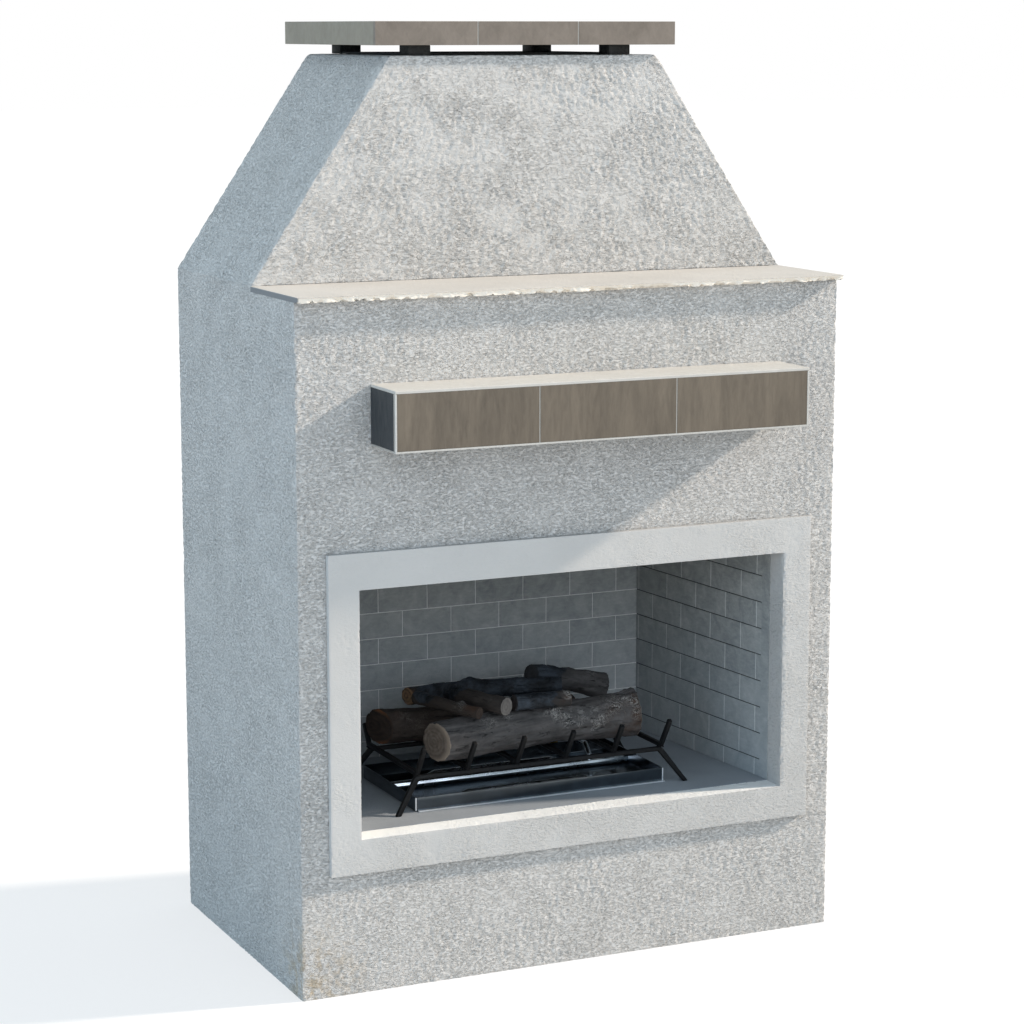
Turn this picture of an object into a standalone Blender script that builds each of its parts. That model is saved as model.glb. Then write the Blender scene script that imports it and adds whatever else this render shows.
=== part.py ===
"""Outdoor gas fireplace with a hipped hood, a tiled mantel and a log set on a grate.

Metres, +Z up. The origin is the centre of the body's underside, and the opening faces -Y.
A frame of steel studs carries stuccoed boards. The firebox, its smoke dome and the flue
stand inside them, and the burner, the grate and the logs lie on the hearth.
"""
import math

import bmesh
import bpy
from mathutils import Matrix, Vector
from mathutils.bvhtree import BVHTree

# Body and hood
BODY_WIDTH = 1.219
BODY_DEPTH = 0.719
SHOULDER_HEIGHT = 1.422
HOOD_RISE = 0.455
HOOD_TOP_SHARE = 0.5
HOOD_SETBACK = 0.248
BOARD = 0.022
TOP_BOARD = 0.019
BASE_BOARD = 0.018
LEDGE_THICKNESS = 0.012
LEDGE_OVERHANG = 0.028
LEDGE_ROUNDING = 0.003

# Steel frame
STUD_WEB = 0.0635
STUD_FLANGE = 0.035
STUD_LIP = 0.010
STUD_GAUGE = 0.0015
HEADER_HEIGHT = 0.089
HEADER_WALL = 0.003
PLATFORM_GAUGE = 0.003
PLATFORM_FLANGE = 0.050

# Opening and its surround
OPENING_MARGIN = 0.127
OPENING_BOTTOM = 0.326
ABOVE_OPENING = 0.587
SURROUND_SIDE = 0.067
SURROUND_BOTTOM = 0.0725
SURROUND_TOP = 0.076
SURROUND_PROUD = 0.0127
SURROUND_SLEEVE = 0.012
SURROUND_ROUNDING = 0.0025
RETURN_DEPTH = 0.056

# Firebox
BEHIND_FIREBOX = 0.1475
FIREBOX_SPLAY = math.radians(5.2)
PANEL = 0.032
HEARTH_SLAB = 0.040
BRICK_PITCH = 0.118
BRICK_COURSE = 0.058
BRICK_JOINT = 0.002
BRICK_JOINT_DEPTH = 0.0015
BRICK_ARRIS = 0.0006
FIRST_COURSE = 0.039
BACK_JOINT_SHARE = 0.24
SIDE_JOINT_SHARE = 0.277
SIDE_MARGIN = 0.0285

# Smoke dome and flue
DOME_WALL = 0.003
DOME_RISE = 0.008
FLUE_MARGIN = 0.065
FLUE_WALL = 0.003
FLUE_RIM = 0.010
FLUE_RIM_THICKNESS = 0.004
FLUE_POST_CLEARANCE = 0.003

# Mantel shelf
MANTEL_MARGIN = 0.149
MANTEL_DEPTH = 0.127
MANTEL_DROP = 0.300
MANTEL_HEIGHT = 0.122
MANTEL_SHIFT = 0.009
MANTEL_TOP_TILE = 0.006
TILE = 0.009
TILE_JOINT = 0.002
TILE_EDGE = 0.0008
MANTEL_TRIM = 0.004

# Chimney cap and its posts
CAP_SIDE_OVERHANG = 0.0367
CAP_FRONT_OVERHANG = 0.0145
CAP_BACK_OVERHANG = 0.0365
CAP_THICKNESS = 0.048
CAP_GAP = 0.0205
POST = 0.049
POST_SIDE_INSET = 0.076
POST_FRONT_INSET = 0.047
POST_BACK_INSET = 0.040

# Burner pan, burner and gas supply
GAS_SET_SHIFT = -0.018
PAN_SIDE_SPARE = 0.0052
PAN_DEPTH_SPARE = 0.026
PAN_LEAD = 0.002
PAN_HEIGHT = 0.030
PAN_WALL = 0.002
PAN_FLANGE = 0.006
PAN_RIB_LENGTH = 0.335
PAN_RIB_WIDTH = 0.024
PAN_RIB_HEIGHT = 0.011
PAN_RIB_SHARES = (0.26, 0.86)
BURNER_RADIUS = 0.009
BURNER_SHARE = 0.586
FEED_RADIUS = 0.0065
FEED_HEIGHT = 0.050
FEED_BEND = 0.020
PIPE_RADIUS = 0.0107
PIPE_BORE = 0.008
VALVE_SHARE = 0.843
VALVE_TO_WALL = 0.0815
VALVE_RADIUS = 0.015
VALVE_FOOT = 0.010
VALVE_HEIGHT = 0.052
VALVE_STEM_RADIUS = 0.005
VALVE_STEM = 0.010
LEVER_LENGTH = 0.062
LEVER_WIDTH = 0.012
LEVER_THICKNESS = 0.003
LEVER_HUB_RADIUS = 0.009

# Log grate
GRATE_SIDE_SPACE = 0.197
GRATE_BARS = 6
GRATE_BAR = 0.0095
GRATE_FRONT_SHARE = 0.224
GRATE_DEPTH_SHARE = 0.4654
GRATE_CLEARANCE = 0.077
FRONT_FINGER_RISE = 0.063
FRONT_FINGER_LEAN = 0.040
REAR_FINGER_RISE = 0.041
REAR_FINGER_LEAN = 0.025
LEG_SPLAY = 0.050
LEG_LEAN = 0.022

# Logs
FRONT_LOG = 0.043
REAR_LOG = 0.038
BRANCH_LOG = 0.0225
TOP_LOG = 0.0235
CROSS_LOG = 0.0205
SHORT_LOG = 0.0195
TWIG = 0.0135
LOG_SIDES = 12
LOG_RINGS = 9
LOG_DROP = 0.20
LOG_STEP = 0.004
LOG_TOLERANCE = 0.00003

# Clearances
SEAT = 0.0003
OVERRUN = 0.010

# Places that follow from the driving sizes
FRONT_Y = -BODY_DEPTH / 2
BACK_Y = BODY_DEPTH / 2
HALF_WIDTH = BODY_WIDTH / 2
HOOD_HEIGHT = SHOULDER_HEIGHT + HOOD_RISE
HOOD_TOP_WIDTH = BODY_WIDTH * HOOD_TOP_SHARE
HOOD_FRONT_Y = FRONT_Y + HOOD_SETBACK
INNER_FRONT_Y = FRONT_Y + BOARD + SEAT
INNER_BACK_Y = BACK_Y - BOARD - SEAT
INNER_HALF_WIDTH = HALF_WIDTH - BOARD - SEAT
STUD_INNER_X = INNER_HALF_WIDTH - STUD_FLANGE
LEDGE_BOTTOM = SHOULDER_HEIGHT - LEDGE_THICKNESS
HOOD_BOARD_TOP = HOOD_HEIGHT - TOP_BOARD - SEAT
HOOD_SLOPE = math.atan2((BODY_WIDTH - HOOD_TOP_WIDTH) / 2, HOOD_RISE)
OPENING_WIDTH = BODY_WIDTH - 2 * OPENING_MARGIN
OPENING_TOP = SHOULDER_HEIGHT - ABOVE_OPENING
SURROUND_FRONT_Y = FRONT_Y - SURROUND_PROUD
FIREBOX_FRONT_Y = SURROUND_FRONT_Y + RETURN_DEPTH + SEAT
FIREBOX_BACK_Y = BACK_Y - BEHIND_FIREBOX
FIREBOX_TOP = OPENING_TOP + SURROUND_SLEEVE
FIREBOX_LENGTH = FIREBOX_BACK_Y - FIREBOX_FRONT_Y
HEARTH = OPENING_BOTTOM
PLATFORM_TOP = HEARTH - HEARTH_SLAB - SEAT
GRATE_FRONT_Y = FRONT_Y + GRATE_FRONT_SHARE * (FIREBOX_BACK_Y - FRONT_Y)
GRATE_DEPTH = GRATE_DEPTH_SHARE * (FIREBOX_BACK_Y - FRONT_Y)
GRATE_SPAN = OPENING_WIDTH - 2 * GRATE_SIDE_SPACE
GRATE_LEFT_X = GAS_SET_SHIFT - GRATE_SPAN / 2
BAR_TOP = HEARTH + GRATE_CLEARANCE + GRATE_BAR
PAN_WIDTH = GRATE_SPAN + 2 * PAN_SIDE_SPARE
PAN_DEPTH = GRATE_DEPTH + PAN_DEPTH_SPARE
PAN_FRONT_Y = GRATE_FRONT_Y - PAN_LEAD
BURNER_Y = PAN_FRONT_Y + BURNER_SHARE * PAN_DEPTH
VALVE_X = GRATE_LEFT_X + VALVE_SHARE * GRATE_SPAN
VALVE_Y = FIREBOX_BACK_Y - VALVE_TO_WALL
POST_X = HOOD_TOP_WIDTH / 2 - POST_SIDE_INSET
POST_FRONT_Y = HOOD_FRONT_Y + POST_FRONT_INSET
POST_BACK_Y = BACK_Y - POST_BACK_INSET
DOME_TOP = SHOULDER_HEIGHT + DOME_RISE
FLUE_WIDTH = HOOD_TOP_WIDTH - 2 * FLUE_MARGIN
FLUE_DEPTH = POST_BACK_Y - POST_FRONT_Y - POST - 2 * (FLUE_POST_CLEARANCE + FLUE_RIM)
FLUE_CENTRE_Y = (POST_FRONT_Y + POST_BACK_Y) / 2
CAP_BOTTOM = HOOD_HEIGHT + CAP_GAP
MANTEL_WIDTH = BODY_WIDTH - 2 * MANTEL_MARGIN
MANTEL_BOTTOM = SHOULDER_HEIGHT - MANTEL_DROP
MANTEL_TILE_TOP = MANTEL_BOTTOM + MANTEL_HEIGHT - MANTEL_TOP_TILE - SEAT

# Which way a flat outline stands: its own x, y and thickness become these world axes
IN_XZ = Matrix(((1, 0, 0), (0, 0, -1), (0, 1, 0))).to_4x4()
IN_YZ = Matrix(((0, 0, 1), (1, 0, 0), (0, 1, 0))).to_4x4()
IN_XY = Matrix.Identity(4)


def new_collection(name):
    """A collection linked to the scene."""
    collection = bpy.data.collections.new(name)
    bpy.context.scene.collection.children.link(collection)
    return collection


def new_material(name, colour, roughness, metallic=0.0):
    """A Principled BSDF with one colour."""
    material = bpy.data.materials.new(name)
    material.use_nodes = True
    shader = material.node_tree.nodes["Principled BSDF"]
    shader.inputs["Base Color"].default_value = (*colour, 1.0)
    shader.inputs["Roughness"].default_value = roughness
    shader.inputs["Metallic"].default_value = metallic
    return material


def mesh_object(name, mesh, material):
    """Link a mesh as a part of the fireplace."""
    part = bpy.data.objects.new(name, mesh)
    PARTS.objects.link(part)
    mesh.materials.clear()
    mesh.materials.append(material)
    return part


def from_bmesh(name, bm, material):
    """Turn a finished bmesh into a part."""
    mesh = bpy.data.meshes.new(name)
    bm.to_mesh(mesh)
    bm.free()
    return mesh_object(name, mesh, material)


def from_curve(name, curve, place, material):
    """Turn a filled or bevelled curve into a welded mesh part."""
    source = bpy.data.objects.new(name + "_outline", curve)
    bpy.context.scene.collection.objects.link(source)
    bpy.context.view_layer.update()
    evaluated = source.evaluated_get(bpy.context.evaluated_depsgraph_get())
    mesh = bpy.data.meshes.new_from_object(evaluated)
    bpy.data.objects.remove(source)
    bpy.data.curves.remove(curve)
    bm = bmesh.new()
    bm.from_mesh(mesh)
    bpy.data.meshes.remove(mesh)
    bmesh.ops.remove_doubles(bm, verts=bm.verts, dist=SEAT / 10)
    bmesh.ops.transform(bm, matrix=place, verts=bm.verts)
    bmesh.ops.recalc_face_normals(bm, faces=bm.faces)
    return from_bmesh(name, bm, material)


def cube_between(low, high):
    """A bmesh box from its lowest corner to its highest."""
    bm = bmesh.new()
    bmesh.ops.create_cube(bm, size=1.0)
    size = Vector(high) - Vector(low)
    middle = (Vector(high) + Vector(low)) / 2
    place = Matrix.Translation(middle) @ Matrix.Diagonal((*size, 1.0))
    bmesh.ops.transform(bm, matrix=place, verts=bm.verts)
    return bm


def box(name, low, high, material):
    """A plain block."""
    return from_bmesh(name, cube_between(low, high), material)


def round_edges(part, width, segments=1):
    """A small chamfer or rounding on a part's sharp edges."""
    bevel = part.modifiers.new("rounding", "BEVEL")
    bevel.width = width
    bevel.segments = segments
    bevel.limit_method = "ANGLE"
    bevel.harden_normals = False
    return part


def combine(part, tool, operation):
    """Cut a part with a tool, or join the tool to it."""
    PARTS.objects.unlink(tool)
    TOOLS.objects.link(tool)
    tool.hide_render = True
    tool.display_type = "WIRE"
    boolean = part.modifiers.new(operation.lower(), "BOOLEAN")
    boolean.operation = operation
    boolean.solver = "EXACT"
    boolean.object = tool
    return part


def cut_box(part, low, high):
    """Cut a rectangular hole."""
    return combine(part, box(part.name + "_cutter", low, high, STEEL), "DIFFERENCE")


def cylinder(name, centre, radius, bottom, top, material, sides=16):
    """An upright cylinder."""
    bm = bmesh.new()
    place = Matrix.Translation((*centre, (bottom + top) / 2))
    bmesh.ops.create_cone(
        bm, cap_ends=True, segments=sides, radius1=radius, radius2=radius, depth=top - bottom, matrix=place
    )
    part = from_bmesh(name, bm, material)
    part.data.shade_smooth()
    part.data.set_sharp_from_angle(angle=math.radians(40))
    return part


def drill(part, centre, radius, bottom, top):
    """Cut an upright round hole."""
    return combine(part, cylinder(part.name + "_drill", centre, radius, bottom, top, STEEL), "DIFFERENCE")


def plate(name, outline, start, end, standing, material, holes=()):
    """A flat outline with any holes, given a thickness from start to end along the third axis."""
    curve = bpy.data.curves.new(name, "CURVE")
    curve.dimensions = "2D"
    curve.fill_mode = "BOTH"
    curve.extrude = (end - start) / 2
    for loop in (outline, *holes):
        spline = curve.splines.new("POLY")
        spline.points.add(len(loop) - 1)
        spline.use_cyclic_u = True
        for point, (x, y) in zip(spline.points, loop):
            point.co = (x, y, 0, 1)
    middle = (start + end) / 2
    if standing is IN_XZ:
        shift = Matrix.Translation((0, middle, 0))
    elif standing is IN_YZ:
        shift = Matrix.Translation((middle, 0, 0))
    else:
        shift = Matrix.Translation((0, 0, middle))
    return from_curve(name, curve, shift @ standing, material)


def rectangle(left, bottom, right, top):
    """The corners of an upright rectangle."""
    return [(left, bottom), (right, bottom), (right, top), (left, top)]


def strip_outline(path, width):
    """The outline of a strip of even width along a bent path, with mitred corners."""
    points = [Vector(point) for point in path]
    left, right = [], []
    for index, point in enumerate(points):
        before = points[max(index - 1, 0)]
        after = points[min(index + 1, len(points) - 1)]
        incoming = (point - before).normalized() if index > 0 else (after - point).normalized()
        outgoing = (after - point).normalized() if index < len(points) - 1 else incoming
        normal_in = Vector((-incoming.y, incoming.x))
        normal_out = Vector((-outgoing.y, outgoing.x))
        mitre = (normal_in + normal_out).normalized()
        reach = width / 2 / mitre.dot(normal_in)
        left.append(point + mitre * reach)
        right.append(point - mitre * reach)
    return [tuple(corner) for corner in left + right[::-1]]


def tube_along(name, route, radius, material, detail=3):
    """A round tube with flat ends along straight runs."""
    curve = bpy.data.curves.new(name, "CURVE")
    curve.dimensions = "3D"
    curve.bevel_depth = radius
    curve.bevel_resolution = detail
    curve.use_fill_caps = True
    spline = curve.splines.new("POLY")
    spline.points.add(len(route) - 1)
    for point, place in zip(spline.points, route):
        point.co = (*place, 1)
    part = from_curve(name, curve, Matrix.Identity(4), material)
    part.data.shade_smooth()
    part.data.set_sharp_from_angle(angle=math.radians(40))
    return part


def hood_half_width(height):
    """Half the width of the hood's outline at a height above the shoulder."""
    climb = (height - SHOULDER_HEIGHT) / HOOD_RISE
    return HALF_WIDTH + (HOOD_TOP_WIDTH / 2 - HALF_WIDTH) * climb


def hood_outline(bottom, top):
    """The hood's tapered outline between two heights."""
    low, high = hood_half_width(bottom), hood_half_width(top)
    return [(-low, bottom), (low, bottom), (high, top), (-high, top)]


# Frame and boards


def make_base_panel():
    """The deck that the frame stands on, with a hole for the gas riser."""
    low = (-INNER_HALF_WIDTH, INNER_FRONT_Y, 0)
    high = (INNER_HALF_WIDTH, INNER_BACK_Y, BASE_BOARD)
    panel = box("base_panel", low, high, BOARD_GREY)
    drill(panel, (VALVE_X, VALVE_Y), PIPE_RADIUS + SEAT, -OVERRUN, BASE_BOARD + OVERRUN)


def make_stud(name, side, at_back):
    """A lipped C-section corner stud, web against the side board."""
    web, lip = INNER_HALF_WIDTH, STUD_INNER_X
    inside = lip + STUD_GAUGE
    outer = [(web, 0), (lip, 0), (lip, STUD_LIP), (inside, STUD_LIP), (inside, STUD_GAUGE)]
    outer.append((web - STUD_GAUGE, STUD_GAUGE))
    outline = outer + [(x, STUD_WEB - y) for x, y in reversed(outer)]
    start = INNER_BACK_Y - STUD_WEB if at_back else INNER_FRONT_Y
    outline = [(side * x, start + y) for x, y in outline]
    bottom = BASE_BOARD + SEAT
    top = SHOULDER_HEIGHT if at_back else LEDGE_BOTTOM - SEAT
    plate(name, outline, bottom, top, IN_XY, STEEL)


def make_frame():
    """Four corner studs, the header over the opening and the platform under the hearth."""
    make_stud("front_left_stud", -1, False)
    make_stud("front_right_stud", 1, False)
    make_stud("rear_left_stud", -1, True)
    make_stud("rear_right_stud", 1, True)
    reach = STUD_INNER_X - SEAT
    front, back = INNER_FRONT_Y, INNER_FRONT_Y + STUD_WEB
    bottom = FIREBOX_TOP + SEAT
    top = bottom + HEADER_HEIGHT
    section = rectangle(front, bottom, back, top)
    bore = rectangle(front + HEADER_WALL, bottom + HEADER_WALL, back - HEADER_WALL, top - HEADER_WALL)
    plate("opening_header", section, -reach, reach, IN_YZ, STEEL, [bore])
    make_platform(reach)


def make_platform(reach):
    """A folded sheet with a downturned flange along its front and back, carried by the studs."""
    front, back = INNER_FRONT_Y, INNER_BACK_Y
    drop = PLATFORM_TOP - PLATFORM_FLANGE
    under = PLATFORM_TOP - PLATFORM_GAUGE
    outline = [(front, drop), (front + PLATFORM_GAUGE, drop), (front + PLATFORM_GAUGE, under)]
    outline += [(back - PLATFORM_GAUGE, under), (back - PLATFORM_GAUGE, drop), (back, drop)]
    outline += [(back, PLATFORM_TOP), (front, PLATFORM_TOP)]
    platform = plate("hearth_platform", outline, -reach, reach, IN_YZ, STEEL)
    drill(platform, (VALVE_X, VALVE_Y), PIPE_RADIUS + SEAT, under - OVERRUN, PLATFORM_TOP + OVERRUN)


def make_body_boards():
    """The four stuccoed boards of the body. The back board also closes the hood."""
    sleeve = OPENING_WIDTH / 2 + SURROUND_SLEEVE + SEAT
    low = OPENING_BOTTOM - SURROUND_SLEEVE - SEAT
    high = OPENING_TOP + SURROUND_SLEEVE + SEAT
    front = rectangle(-HALF_WIDTH, 0, HALF_WIDTH, LEDGE_BOTTOM - SEAT)
    opening = rectangle(-sleeve, low, sleeve, high)
    plate("front_board", front, FRONT_Y, FRONT_Y + BOARD, IN_XZ, STUCCO, [opening])
    back = hood_outline(SHOULDER_HEIGHT, HOOD_BOARD_TOP)[1:3]
    outline = [(-HALF_WIDTH, 0), (HALF_WIDTH, 0), *back, *[(-x, z) for x, z in reversed(back)]]
    plate("back_board", outline, BACK_Y - BOARD, BACK_Y, IN_XZ, STUCCO)
    step = HOOD_FRONT_Y
    side = [(INNER_FRONT_Y, 0), (INNER_BACK_Y, 0), (INNER_BACK_Y, SHOULDER_HEIGHT)]
    side += [(step, SHOULDER_HEIGHT), (step, LEDGE_BOTTOM - SEAT), (INNER_FRONT_Y, LEDGE_BOTTOM - SEAT)]
    plate("left_board", side, -HALF_WIDTH, BOARD - HALF_WIDTH, IN_YZ, STUCCO)
    plate("right_board", side, HALF_WIDTH - BOARD, HALF_WIDTH, IN_YZ, STUCCO)


def make_ledge():
    """The thin slab that caps the front shoulder, up to the hood's front board."""
    low = (-HALF_WIDTH, FRONT_Y - LEDGE_OVERHANG, LEDGE_BOTTOM)
    high = (HALF_WIDTH, HOOD_FRONT_Y - SEAT, SHOULDER_HEIGHT)
    round_edges(box("ledge_slab", low, high, CREAM_STUCCO), LEDGE_ROUNDING, 2)


def make_hood():
    """The hipped hood: front, two sloping sides and the top board with the flue hole."""
    bottom = SHOULDER_HEIGHT + SEAT
    start, end = HOOD_FRONT_Y, HOOD_FRONT_Y + BOARD
    plate("hood_front_board", hood_outline(bottom, HOOD_BOARD_TOP), start, end, IN_XZ, STUCCO)
    level = BOARD / math.cos(HOOD_SLOPE)
    low, high = hood_half_width(bottom), hood_half_width(HOOD_BOARD_TOP)
    slope = [(low, bottom), (high, HOOD_BOARD_TOP)]
    slope += [(high - level, HOOD_BOARD_TOP), (low - level, bottom)]
    for name, side in (("hood_left_board", -1), ("hood_right_board", 1)):
        outline = [(side * x, z) for x, z in slope]
        plate(name, outline, end + SEAT, INNER_BACK_Y, IN_XZ, STUCCO)
    top = hood_outline(HOOD_HEIGHT - TOP_BOARD, HOOD_HEIGHT)
    board = plate("hood_top_board", top, HOOD_FRONT_Y, BACK_Y, IN_XZ, STUCCO)
    x, y = FLUE_WIDTH / 2 + SEAT, FLUE_DEPTH / 2 + SEAT
    low = (-x, FLUE_CENTRE_Y - y, HOOD_HEIGHT - TOP_BOARD - OVERRUN)
    cut_box(board, low, (x, FLUE_CENTRE_Y + y, HOOD_HEIGHT + OVERRUN))


# Surround and firebox


def make_surround():
    """The smooth frame round the opening, with a sleeve that lines the wall's thickness."""
    half = OPENING_WIDTH / 2
    frame, wall = half + SURROUND_SIDE, half + SURROUND_SLEEVE
    outer = rectangle(-frame, OPENING_BOTTOM - SURROUND_BOTTOM, frame, OPENING_TOP + SURROUND_TOP)
    opening = rectangle(-half, OPENING_BOTTOM, half, OPENING_TOP)
    sleeve = rectangle(-wall, OPENING_BOTTOM - SURROUND_SLEEVE, wall, OPENING_TOP + SURROUND_SLEEVE)
    front, back = SURROUND_FRONT_Y, FRONT_Y - SEAT
    surround = plate("opening_surround", outer, front, back, IN_XZ, SMOOTH_STUCCO, [opening])
    start, end = front + SURROUND_PROUD / 2, front + RETURN_DEPTH
    lining = plate("surround_sleeve", sleeve, start, end, IN_XZ, SMOOTH_STUCCO, [opening])
    round_edges(combine(surround, lining, "UNION"), SURROUND_ROUNDING)


def brick_bmesh(width, height, joints_at, joint_share, bond_end):
    """Raised bricks in running bond as far as bond_end, facing -Y, with the left end at x = 0."""
    bm = cube_between((0, BRICK_JOINT_DEPTH, 0), (width, PANEL, height))

    def face_cells():
        return [face for face in bm.faces if face.normal.y < -0.5]

    def split(cells, place, normal):
        geometry = set(cells)
        for cell in cells:
            geometry.update(cell.edges)
            geometry.update(cell.verts)
        bmesh.ops.bisect_plane(bm, geom=list(geometry), dist=SEAT / 10, plane_co=place, plane_no=normal)

    def bond_cells():
        return [face for face in face_cells() if face.calc_center_median().x < bond_end]

    if bond_end < width:
        split(face_cells(), (bond_end, 0, 0), (1, 0, 0))
    beds = []
    bed = FIRST_COURSE
    while bed < height - BRICK_JOINT:
        beds.append(bed)
        bed += BRICK_COURSE
    for level in beds:
        split(bond_cells(), (0, 0, level), (0, 0, 1))
    for row in range(len(beds) + 1):
        low = beds[row - 1] if row > 0 else 0
        high = beds[row] if row < len(beds) else height
        shift = joint_share + (0.5 if row % 2 else 0.0)
        first = math.ceil(-joints_at / BRICK_PITCH - shift)
        joint = joints_at + (first + shift) * BRICK_PITCH
        while joint < bond_end - BRICK_JOINT:
            if joint > BRICK_JOINT:
                cells = [face for face in bond_cells() if low < face.calc_center_median().z < high]
                split(cells, (joint, 0, 0), (1, 0, 0))
            joint += BRICK_PITCH
    bricks = face_cells()
    bmesh.ops.inset_individual(bm, faces=bricks, thickness=BRICK_JOINT / 2, use_even_offset=True)
    bmesh.ops.inset_individual(
        bm, faces=bricks, thickness=BRICK_ARRIS, depth=BRICK_JOINT_DEPTH, use_even_offset=True
    )
    return bm


def trim_at(bm, y, keep_front):
    """Cut a panel square to the depth axis and close the cut."""
    geometry = [*bm.verts, *bm.edges, *bm.faces]
    normal = (0, 1, 0) if keep_front else (0, -1, 0)
    bmesh.ops.bisect_plane(
        bm, geom=geometry, dist=SEAT / 10, plane_co=(0, y, 0), plane_no=normal, clear_outer=True
    )
    rim = [edge for edge in bm.edges if edge.is_boundary]
    bmesh.ops.holes_fill(bm, edges=rim, sides=0)


def splayed_half(y):
    """Half the clear width between the splayed side panels at a depth."""
    return OPENING_WIDTH / 2 - math.tan(FIREBOX_SPLAY) * (y - FIREBOX_FRONT_Y)


def make_firebox_back():
    """The brick panel across the back, which the side panels butt against."""
    half = splayed_half(FIREBOX_BACK_Y) + PANEL / math.cos(FIREBOX_SPLAY)
    height = FIREBOX_TOP - HEARTH - SEAT
    bm = brick_bmesh(2 * half, height, half, BACK_JOINT_SHARE, 2 * half)
    place = Matrix.Translation((-half, FIREBOX_BACK_Y, HEARTH + SEAT))
    bmesh.ops.transform(bm, matrix=place, verts=bm.verts)
    from_bmesh("firebox_back_panel", bm, FIREBRICK)


def make_firebox_side(name, side):
    """A splayed brick side panel, cut to meet the surround and the back panel."""
    length = FIREBOX_LENGTH / math.cos(FIREBOX_SPLAY)
    height = FIREBOX_TOP - HEARTH - SEAT
    front = length + PANEL
    bm = brick_bmesh(front + PANEL, height, front, SIDE_JOINT_SHARE, front - SIDE_MARGIN)
    turn = Matrix.Rotation(FIREBOX_SPLAY - math.pi / 2, 4, "Z")
    corner = Matrix.Translation((OPENING_WIDTH / 2, FIREBOX_FRONT_Y, HEARTH + SEAT))
    place = corner @ turn @ Matrix.Translation((-length - PANEL, 0, 0))
    bmesh.ops.transform(bm, matrix=place, verts=bm.verts)
    trim_at(bm, FIREBOX_FRONT_Y, False)
    trim_at(bm, FIREBOX_BACK_Y - SEAT, True)
    if side < 0:
        bmesh.ops.scale(bm, vec=(-1, 1, 1), verts=bm.verts)
    bmesh.ops.recalc_face_normals(bm, faces=bm.faces)
    from_bmesh(name, bm, FIREBRICK)


def make_hearth():
    """The hearth slab on the platform."""
    front_half = OPENING_WIDTH / 2 + PANEL / math.cos(FIREBOX_SPLAY)
    low = (-front_half, FIREBOX_FRONT_Y, HEARTH - HEARTH_SLAB)
    high = (front_half, FIREBOX_BACK_Y + PANEL, HEARTH)
    slab = box("hearth_slab", low, high, HEARTH_GREY)
    drill(slab, (VALVE_X, VALVE_Y), PIPE_RADIUS + SEAT, low[2] - OVERRUN, HEARTH + OVERRUN)


def frustum(bottom_corners, top_corners, bottom, top):
    """A solid between a lower and an upper four-sided outline, made by moving a cube's corners."""
    bm = bmesh.new()
    bmesh.ops.create_cube(bm, size=1.0)
    for vertex in bm.verts:
        corners = top_corners if vertex.co.z > 0 else bottom_corners
        column = int(vertex.co.x > 0)
        row = int(vertex.co.y > 0)
        x, y = corners[row][column]
        vertex.co = (x, y, top if vertex.co.z > 0 else bottom)
    return bm


def dome_corners(front_half, back_half, front_y, back_y):
    """Corners of an outline that is narrower at the back, front row first."""
    return (((-front_half, front_y), (front_half, front_y)), ((-back_half, back_y), (back_half, back_y)))


def make_smoke_dome():
    """The tapered steel dome from the firebox walls up to the flue."""
    front_y = INNER_FRONT_Y + STUD_WEB + SEAT
    back_y = FIREBOX_BACK_Y + PANEL / 2
    seat_x = PANEL / 2 / math.cos(FIREBOX_SPLAY)
    front_half, back_half = splayed_half(front_y) + seat_x, splayed_half(back_y) + seat_x
    bottom, top = FIREBOX_TOP + SEAT, DOME_TOP

    def skin(inset):
        flue_x, flue_y = FLUE_WIDTH / 2 - inset, FLUE_DEPTH / 2 - inset
        lower = dome_corners(front_half - inset, back_half - inset, front_y + inset, back_y - inset)
        upper = dome_corners(flue_x, flue_x, FLUE_CENTRE_Y - flue_y, FLUE_CENTRE_Y + flue_y)
        return frustum(lower, upper, bottom, top)

    inner = skin(DOME_WALL)
    ends = [face for face in inner.faces if abs(face.normal.z) > 0.9]
    for face in ends:
        outward = OVERRUN if face.normal.z > 0 else -OVERRUN
        grown = bmesh.ops.extrude_face_region(inner, geom=[face])
        moved = [part for part in grown["geom"] if isinstance(part, bmesh.types.BMVert)]
        bmesh.ops.translate(inner, verts=moved, vec=(0, 0, outward))
        inner.faces.remove(face)
    bmesh.ops.recalc_face_normals(inner, faces=inner.faces)
    dome = from_bmesh("smoke_dome", skin(0), STEEL)
    combine(dome, from_bmesh("smoke_dome_space", inner, STEEL), "DIFFERENCE")


def make_flue():
    """The rectangular flue duct, hung by its rim from the hood's top board."""
    outer_x, outer_y = FLUE_WIDTH / 2, FLUE_DEPTH / 2
    low = (-outer_x, FLUE_CENTRE_Y - outer_y, DOME_TOP + SEAT)
    rim_bottom = HOOD_HEIGHT + SEAT
    rim_top = rim_bottom + FLUE_RIM_THICKNESS
    duct = box("flue_duct", low, (outer_x, FLUE_CENTRE_Y + outer_y, rim_top), FLUE_BLACK)
    rim_x, rim_y = outer_x + FLUE_RIM, outer_y + FLUE_RIM
    rim_low = (-rim_x, FLUE_CENTRE_Y - rim_y, rim_bottom)
    rim_high = (rim_x, FLUE_CENTRE_Y + rim_y, rim_top)
    combine(duct, box("flue_rim", rim_low, rim_high, FLUE_BLACK), "UNION")
    bore_x, bore_y = outer_x - FLUE_WALL, outer_y - FLUE_WALL
    cut_box(duct, (-bore_x, FLUE_CENTRE_Y - bore_y, DOME_TOP - OVERRUN),
            (bore_x, FLUE_CENTRE_Y + bore_y, rim_top + OVERRUN))


# Mantel shelf and chimney cap


def make_tile(name, low, high, material):
    """A porcelain tile with a fine edge."""
    return round_edges(box(name, low, high, material), TILE_EDGE)


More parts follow.
